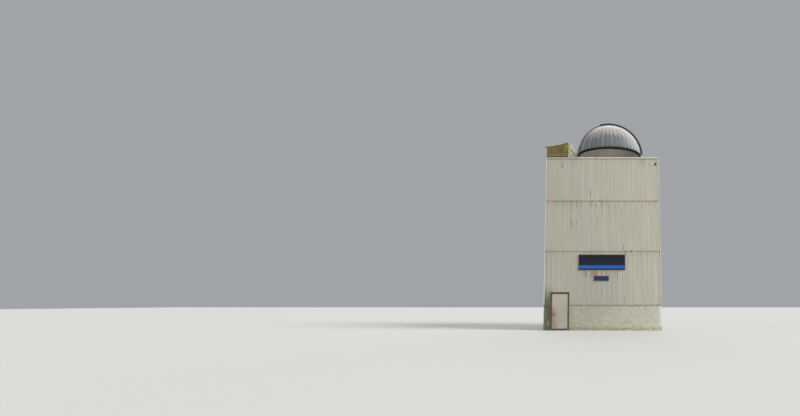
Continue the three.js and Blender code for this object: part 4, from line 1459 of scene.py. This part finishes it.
# %% Pier and its plate
foot = [(0.2, DECK + 0.0005), (0.2, DECK + 0.02), (0.195, DECK + 0.025), (0.14, DECK + 0.025)]
column = solid([*foot, (0.135, DECK + 0.03), (0.135, 11.525), (0.14, 11.53)], 64)
bolt = solid([(0.008, 0.018), (0.012, 0.014), (0.012, 0.0)], 6)
moved(bolt, Matrix.Translation((0.168, 0, DECK + 0.0252)))
pier = joined(column, repeated(bolt, turns(range(0, 360, 45))))
place("pier_column", moved(pier, AXIS), BLACK, "tower", "black", ("pier",))
cap = solid([(0.157, 11.5305), (0.16, 11.5335), (0.16, 11.546), (0.157, 11.5495)], 64, AXIS)
place("pier_plate", cap, STEEL, "tower", "steel")

# %% [markdown]
# ## The mount
# The mount is a white casting with a few thin red and black lines. Its lower part stands on the pier and
# points its housing at the pole, and all of its round parts are spun in a frame that is tilted to the
# same angle. In that frame X is the polar axis and Z is the other one.

# %% Housing and cheeks
def band(radius, start, end, matrix=ALONG_X):
    """A thin line of paint round a housing, on the polar axis if nothing else is said."""
    return hoop(oblong(radius - 0.002, radius + 0.0012, start, end), 48, matrix)


def pegs(radius, x, z, near, far, steps, edge):
    """A round bar on either side of the casting."""
    ends = ((-far, -near), (near, far))
    return joined(*[rod(radius, (x, y0, z), (x, y1, z), steps, edge) for y0, y1 in ends])


housing = solid([(0.088, -0.42), (0.1, -0.408), (0.1, -0.125), (0.095, -0.1155)], 48, ALONG_X)
side_plate = [(0.335, 11.562), (0.585, 11.562), (0.585, 11.86), (0.54, 11.896), (0.338, 11.722)]
casting = joined(
    moved(housing, AXES_CROSS),
    solid([(0.147, 11.5502), (0.15, 11.553), (0.15, 11.566), (0.146, 11.57)], 64, AXIS),
    bar((0.345, -0.05, 11.565), (0.578, 0.05, 11.60), 0.003),
    *[broken(plate(side_plate, y, 0.024), 0.004, 2) for y in (-0.07, 0.046)],
)
red = joined(band(0.1, -0.155, -0.145), band(0.1, -0.395, -0.387))
dark = joined(
    moved(joined(band(0.1, -0.142, -0.128), band(0.1, -0.384, -0.376)), AXES_CROSS),
    pegs(0.02, 0.545, 11.78, 0.0705, 0.098, 20, 0.003),
    pegs(0.011, 0.39, 11.66, 0.0705, 0.082, 12, 0.002),
    rod(0.016, (0.30, 0, 11.60), (0.336, 0, 11.60), 16, 0.003),
)
place("mount_casting", casting, WHITE, "tower", "white", ("mount_base",))
place("mount_red_lines", moved(red, AXES_CROSS), RED, "tower", "white")
place("mount_knobs", dark, BLACK, "tower", "black")

# %% [markdown]
# The head turns about the polar axis and carries the second housing across it. Below hangs a steel shaft
# with two discs that balance the tubes.

# %% The head that turns about the polar axis
def disc(start, end):
    """A balance weight between two places on the shaft."""
    lower, upper = start + 0.006, end - 0.006
    rim = [(0.084, start), (0.09, lower), (0.09, upper), (0.084, end)]
    return hoop([(0.017, start), *rim, (0.017, end)])


UPRIGHT = Matrix()
across = [(0.066, -0.1398), (0.075, -0.131), (0.075, 0.143), (0.068, 0.1498)]
head = joined(
    solid([(0.095, -0.1145), (0.095, -0.05), (0.08, -0.03)], 48, ALONG_X),
    solid(across),
    bar((-0.09, -0.062, -0.062), (0.02, 0.062, 0.062), 0.01, 2),
)
upper = (band(0.075, 0.118, 0.126, UPRIGHT), band(0.075, -0.118, -0.11, UPRIGHT))
lower = (band(0.075, 0.129, 0.14, UPRIGHT), band(0.075, -0.132, -0.121, UPRIGHT))
red = joined(*upper, band(0.095, -0.075, -0.069))
dark = joined(*lower, band(0.095, -0.09, -0.079))
stop = [(0.02, -0.519), (0.025, -0.514), (0.025, -0.508), (0.016, -0.505)]
weights = joined(
    solid([*stop, (0.016, -0.1405), (0.03, -0.1405)], 32),
    disc(-0.505, -0.4545),
    disc(-0.4515, -0.401),
    *[rod(0.009, (0.088, 0, z), (0.112, 0, z), 12) for z in (-0.48, -0.426)],
)
place("head_housing", moved(head, AXES_CROSS), WHITE, "polar_head", "white", ("dec_housing",))
place("head_red_lines", moved(red, AXES_CROSS), RED, "polar_head", "white")
place("head_black_lines", moved(dark, AXES_CROSS), BLACK, "polar_head", "black")
place("balance_weights", moved(weights, AXES_CROSS), STEEL, "polar_head", "steel", ("counterweights",))

# %% [markdown]
# ## The telescope
# The main tube is a wide cream-green cylinder with a black ring at its mouth, a thin lens plate set into
# the ring and a rounded black casting at its back. Every part of it is spun about the tube's own axis,
# which lies along X in the tilted frame.

# %% Main tube and its mouth
MAIN = AXES_CROSS @ Matrix.Translation((0, 0, 0.42)) @ ALONG_X
GUIDE = AXES_CROSS @ Matrix.Translation((0, 0, 0.722)) @ ALONG_X


def lens_glass():
    glass = Finish("lens_glass", roughness=0.06)
    glass.first_coat(glass.noise(0.2), (22, 30, 36), (38, 54, 60))
    return glass.done()


LENS = lens_glass()
shell = hoop(oblong(0.201, 0.205, -0.33, 0.375), 96, MAIN)
place("tube_shell", shell, TUBE_GREEN, "telescope", "telescope", ("main_tube",))
lip = [(0.206, 0.42), (0.197, 0.42), (0.194, 0.404), (0.19, 0.404)]
mouth = [(0.19, 0.352), (0.208, 0.352), (0.212, 0.357), (0.212, 0.412), *lip]
heads = repeated(rod(0.004, (0.203, 0, 0.4195), (0.203, 0, 0.4225), 8, 0.0006), turns(range(0, 360, 30)))
place("tube_mouth_ring", moved(joined(hoop(mouth, 96), heads), MAIN), BLACK, "telescope", "black")
pane = solid([(0.1935, 0.3935), (0.1935, 0.398)], 96, MAIN)
place("lens_plate", pane, LENS, "telescope", "telescope")
holder = [(0.04, 0.424), (0.052, 0.418), (0.058, 0.405), (0.062, 0.401), (0.062, 0.3985)]
caps = repeated(rod(0.005, (0.032, 0, 0.4235), (0.032, 0, 0.428), 10), turns(range(0, 360, 120)))
place("lens_centre", moved(joined(solid(holder), caps), MAIN), BLACK, "telescope", "black")

# %% [markdown]
# The casting at the back has a ring of screws, two grips and a focus knob, and on it sit the focuser and a
# small camera with cooling fins.

# %% Rear casting and camera
edge = [(0.208, -0.358), (0.212, -0.34), (0.212, -0.312), (0.206, -0.306)]
bowl = solid([(0.16, -0.39), (0.172, -0.388), (0.196, -0.374), *edge], 96)
screws = repeated(rod(0.005, (0.148, 0, -0.3925), (0.148, 0, -0.389), 8, 0.001), turns(range(22, 360, 45)))
grip = joined(
    rod(0.009, (0, -0.07, -0.43), (0, 0.07, -0.43), 16, 0.003),
    *[rod(0.007, (0, y, -0.386), (0, y, -0.432), 12) for y in (-0.07, 0.07)],
)
grips = repeated(grip, shifts((-0.15, 0, 0), (0.15, 0, 0)))
knob = [(0.016, -0.425), (0.02, -0.42), (0.02, -0.395), (0.024, -0.389)]
rear = joined(bowl, screws, grips, solid(knob, 24, Matrix.Translation((0, 0.11, 0))))
place("tube_rear_casting", moved(rear, MAIN), BLACK, "telescope", "black")
collar = [(0.066, -0.428), (0.07, -0.422), (0.07, -0.396), (0.076, -0.3895)]
focuser = solid([(0.05, -0.452), (0.052, -0.448), (0.052, -0.43), *collar], 48, MAIN)
place("tube_focuser", focuser, STEEL, "telescope", "steel")
fins = [hoop(oblong(0.04, 0.0472, s, s + 0.003), 32) for s in (-0.508, -0.500, -0.492, -0.484)]
camera = solid([(0.038, -0.5195), (0.045, -0.512), (0.045, -0.458), (0.04, -0.4525)])
place("tube_camera", moved(joined(camera, *fins), MAIN), BLACK, "telescope", "black")

# %% [markdown]
# The main tube sits on a saddle with two clamp screws. On top of it runs a black rail that carries the
# guide telescope, a slim white refractor that is held in two rings by thumb screws.

# %% Saddle and rail
saddle = joined(
    solid([(0.072, 0.1505), (0.075, 0.1535), (0.075, 0.1765)]),
    bar((-0.25, -0.06, 0.176), (0.25, 0.06, 0.200), 0.004),
    bar((-0.27, -0.037, 0.2003), (0.27, 0.037, 0.2085)),
    *[bar((x, -0.055, 0.1995), (x + 0.06, 0.055, 0.2155)) for x in (-0.21, 0.15)],
    *[rod(0.011, (x, -0.0605, 0.188), (x, -0.078, 0.188), 14, 0.002) for x in (-0.2, 0.2)],
)
place("saddle_clamp", moved(saddle, AXES_CROSS), BLACK, "telescope", "black", ("saddle_plate",))
rail = joined(
    bar((-0.31, -0.022, 0.6285), (0.37, 0.022, 0.6415)),
    bar((-0.33, -0.03, 0.6225), (-0.29, 0.03, 0.631)),
    bar((0.345, -0.03, 0.6295), (0.385, 0.03, 0.634), 0.001),
)
place("guide_rail", moved(rail, AXES_CROSS), BLACK, "telescope", "black")

# %% Guide telescope
RING_PLACES = (-0.13, 0.13)
hood = [(0.068, 0.292), (0.068, 0.505), (0.064, 0.505), (0.064, 0.43)]
tube = solid([(0.047, -0.2), (0.055, -0.188), (0.055, 0.288), (0.058, 0.292), *hood], 64, GUIDE)
place("guide_tube", tube, WHITE, "telescope", "white", ("guide_scope",))
back = [(0.036, -0.286), (0.036, -0.222), (0.046, -0.216), (0.046, -0.201)]
outer = [(0.064, -0.014), (0.0655, -0.012), (0.0655, 0.012), (0.064, 0.014)]
ring = joined(
    hoop([(0.0552, -0.014), *outer, (0.0552, 0.014)], 64),
    bar((0.062, -0.03, -0.014), (0.081, 0.03, 0.014)),
)
rings = joined(
    repeated(ring, shifts(*[(0, 0, along) for along in RING_PLACES])),
    hoop(oblong(0.0632, 0.07, 0.502, 0.52), 64),
    hoop(oblong(0.0552, 0.0585, 0.262, 0.2895), 64),
    solid([(0.028, -0.34), (0.032, -0.336), (0.032, -0.29), *back]),
    *[rod(0.014, (0, side * 0.03, -0.25), (0, side * 0.066, -0.25), 20, 0.003) for side in (-1, 1)],
)
place("guide_rings", moved(rings, GUIDE), BLACK, "telescope", "black")
thumb_screws = [
    rod(radius, (0, side * start, along), (0, side * end, along), 16, 0.001)
    for along in RING_PLACES
    for side in (-1, 1)
    for radius, start, end in ((0.004, 0.06, 0.08), (0.010, 0.079, 0.091))
]
place("guide_screws", moved(joined(*thumb_screws), GUIDE), STEEL, "telescope", "steel")
glass = lathe([(0, 0.4455), (0.03, 0.444), (0.0635, 0.438), (0.0635, 0.4305), (0, 0.4305)], 64, GUIDE)
place("guide_lens", glass, LENS, "telescope", "telescope")

# %% [markdown]
# ## Cupboards and counter
# Along the back of the dome room stands a row of cupboards under a dark counter. Each of the four doors
# has a black bow pull near its top edge, a plain band runs above the doors, and open shelves run along
# the foot. The carcass is built from boards, as a joiner would.

# %% Cupboards
LEFT, RIGHT, FRONT, BACK = AXIS_X - 1.08, AXIS_X + 0.90, 1.10, 1.60
TOP = 11.21
BAY = (RIGHT - LEFT) / 4
first, last = LEFT + 0.018, RIGHT - 0.018
behind, rear = FRONT + 0.0185, BACK - 0.012
walls = [(LEFT + BAY * i - 0.009, LEFT + BAY * i + 0.009) for i in (1, 2, 3)]
carcass = bars(
    0.001,
    ((LEFT, behind, DECK), (first, BACK, TOP)),
    ((last, behind, DECK), (RIGHT, BACK, TOP)),
    ((first, rear, DECK), (last, BACK, TOP)),
    ((first, behind, 10.71), (last, rear, 10.728)),
    ((first, FRONT + 0.03, DECK), (last, FRONT + 0.045, 10.353)),
    ((first, behind, 10.352), (last, rear, 10.37)),
    ((first, FRONT + 0.035, 10.53), (last, rear, 10.546)),
    ((first, behind, TOP - 0.02), (last, rear, TOP)),
    *[((x0, FRONT + 0.019, 10.37), (x1, rear, TOP - 0.02)) for x0, x1 in walls],
)
doors = [(LEFT + BAY * i + 0.002, LEFT + BAY * (i + 1) - 0.002) for i in range(4)]
fronts = bars(
    0.0015,
    ((LEFT + 0.002, FRONT, TOP - 0.10), (RIGHT - 0.002, FRONT + 0.018, TOP)),
    *[((x0, FRONT, 10.712), (x1, FRONT + 0.018, TOP - 0.103)) for x0, x1 in doors],
)
cupboards = joined(carcass, fronts)
place("cupboards", cupboards, LAMINATE, "tower", "cabinet", ("counter_cabinet",), smooth=0)

# %% [markdown]
# A bow pull is a round bar bent to an arc, so its section is spun through a quarter turn about a point
# behind the door's face. The counter on top is a thick slab of dark wood with an upstand at the wall.

# %% Bow pulls and counter
BEND = 0.080


def bow_pull():
    """A bar bent to a quarter circle whose middle stands out towards -Y."""
    bm = bmesh.new()
    section = Matrix.Rotation(math.radians(-45), 4, "Z") @ Matrix.Translation((0, -BEND, 0)) @ ALONG_X
    bmesh.ops.create_circle(bm, cap_ends=True, segments=10, radius=0.0055, matrix=section)
    bmesh.ops.spin(bm, geom=bm.faces[:], cent=(0, 0, 0), axis=(0, 0, 1), angle=math.pi / 2, steps=12)
    return welded(bm)


def counter_wood():
    wood = Finish("counter_wood", roughness=0.45)
    grain = wood.noise(0.012, (0.06, 1, 1), 4.0)
    wood.first_coat(grain.within(0.3, 0.7), (92, 74, 58), (66, 52, 42))
    wood.coat(wood.noise(0.4, (0.4, 1, 1)).within(0.4, 0.7) * 0.4, (54, 42, 34))
    wood.set("Roughness", grain * 0.15 + 0.36)
    wood.bump(grain, 0.0003, 0.4)
    return wood.done()


at_face = FRONT + BEND * math.cos(math.pi / 4) - 0.002
middles = [(LEFT + BAY * (i + 0.5), at_face, TOP - 0.155) for i in range(4)]
place("cupboard_pulls", repeated(bow_pull(), shifts(*middles)), BLACK, "tower", "black")
slab = joined(
    bar((LEFT - 0.010, FRONT - 0.015, TOP + 0.0004), (RIGHT + 0.015, BACK + 0.005, TOP + 0.04), 0.004, 2),
    bar((LEFT - 0.008, BACK - 0.010, TOP + 0.038), (RIGHT + 0.013, BACK + 0.004, TOP + 0.10)),
)
place("counter_slab", slab, counter_wood(), "tower", "counter", ("counter_top",))

# %% [markdown]
# ## The desk
# Round the corner from the cupboards stands a lower desk. Its pale top lies on a wide plain pedestal and
# runs on past it, open underneath. The pedestal is a box of boards: two gables, a back, a floor and one
# flush front over a plinth that is set back for the feet.

# %% Desk
X0, X1 = AXIS_X - 1.60, AXIS_X - 1.10
UNDER = 11.110
NEAR, FAR = -0.08, 0.72
start, end, face = X0 + 0.02, X1 - 0.0405, X1 - 0.04
first, last = NEAR + 0.0185, FAR - 0.0185
top = joined(
    bar((X0, -0.10, UNDER + 0.0005), (X1, 1.05, 11.149), 0.003, 2),
    bar((X1 - 0.001, -0.10, UNDER + 0.001), (X1 + 0.002, 1.05, 11.1485), 0.0008),
)
boards = bars(
    0.001,
    ((start, NEAR, DECK), (end, NEAR + 0.018, UNDER)),
    ((start, FAR - 0.018, DECK), (end, FAR, UNDER)),
    ((start, first, DECK), (X0 + 0.035, last, UNDER)),
    ((X0 + 0.0355, first, DECK + 0.078), (end, last, DECK + 0.096)),
    ((X1 - 0.085, first, DECK), (X1 - 0.069, last, DECK + 0.0775)),
)
pedestal = joined(boards, bar((face, NEAR, DECK + 0.08), (X1 - 0.022, FAR, UNDER), 0.0015))
place("desk_top", top, DESK_TOP, "tower", "cabinet", ("desk",), smooth=0)
place("desk_pedestal", pedestal, LAMINATE, "tower", "cabinet", smooth=0)

# %% [markdown]
# ## Finishes of the solids that stay
# Walls, slabs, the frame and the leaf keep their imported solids, because their shapes are already right.
# Each is given its finish by name.

# %% Finishes by name
KEPT = (
    (BASE_PAINT, "ground_slab front_base_left front_base_right left_base right_base back_base"),
    (LINING, "front_siding_left front_siding_right front_siding_upper"),
    (LINING, "left_siding right_siding back_siding"),
    (TRIM, "parapet_coping stair_head_hatch"),
    (MEMBRANE, "roof_deck"),
    (FRAME_BROWN, "door_frame"),
    (DOOR_PAINT, "entrance_door"),
    (DARK_STEEL, "door_handle"),
    (BOARD_FACE, "name_board small_board"),
    (MOSSY, "stair_head_shell"),
    (STAIR_ROOF, "stair_head_roof"),
    (FRAME_ZINC, "slit_sill"),
)
for finish, names in KEPT:
    for name in names.split():
        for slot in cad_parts[name].material_slots:
            slot.material = finish
print("finished solids:", sum(len(names.split()) for finish, names in KEPT))

# %% [markdown]
# ## Floor and light
# The stage is a plain pale floor under a pale even sky. Four suns with wide discs give the soft light of
# a studio without bright pools on the floor. The strongest stands high at the front right, as the light
# on the real dome shows, and the others lift the front, the left side and the back.

# %% Stage
grid = bmesh.new()
bmesh.ops.create_grid(grid, x_segments=1, y_segments=1, size=150)
sheet = bpy.data.meshes.new("floor")
grid.to_mesh(sheet)
grid.free()
ground = Finish("floor_pale", roughness=0.9)
ground.set("Base Color", (214, 213, 208))
sheet.materials.append(ground.material)
floor = added("floor", sheet)
floor.location.z = -0.002
floor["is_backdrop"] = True
world = bpy.data.worlds.new("studio")
world.use_nodes = True
sky = world.node_tree.nodes["Background"].inputs
sky["Color"].default_value = paint(220, 223, 228)
sky["Strength"].default_value = 0.5
bpy.context.scene.world = world
SUNS = (
    ("key", (0.78, -0.30, 0.58), 30, 2.4),
    ("front", (-0.15, -0.95, 0.25), 70, 0.75),
    ("fill", (-0.90, 0.10, 0.40), 60, 0.6),
    ("back", (0.05, 0.90, 0.40), 60, 0.8),
)
for name, direction, spread, power in SUNS:
    lamp = bpy.data.lights.new(name, "SUN")
    lamp.angle = math.radians(spread)
    lamp.energy = power
    added(name, lamp).rotation_euler = Vector(direction).to_track_quat("Z", "Y").to_euler()
print("suns:", len(SUNS))

# %% [markdown]
# ## The camera
# The camera stands at eye height, 31 m in front of the wall, and looks up by about ten degrees. Its shift
# to the side keeps the tower where it stands in the picture.

# %% Camera
FOCAL_PIXELS = 516
PICTURE_WIDTH = 800
lens = bpy.data.cameras.new("camera")
lens.sensor_width = 36
lens.sensor_fit = "HORIZONTAL"
lens.lens = FOCAL_PIXELS / PICTURE_WIDTH * lens.sensor_width
lens.shift_x = -0.25
lens.clip_end = 500
viewer = added("camera", lens)
viewer.location = (-0.16, -34.5, 1.6)
viewer.rotation_euler = (math.radians(90 + 10.4), 0, 0)
bpy.context.scene.camera = viewer
bpy.context.scene.view_settings.view_transform = "Standard"
print("camera lens:", round(lens.lens, 2), "mm")

# %% [markdown]
# ## Sizes
# The box of the finished scene is worked out and printed.

# %% Sizes of the finished scene
low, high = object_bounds()
print("visual box:", [round(value, 3) for value in (*low, *high)])
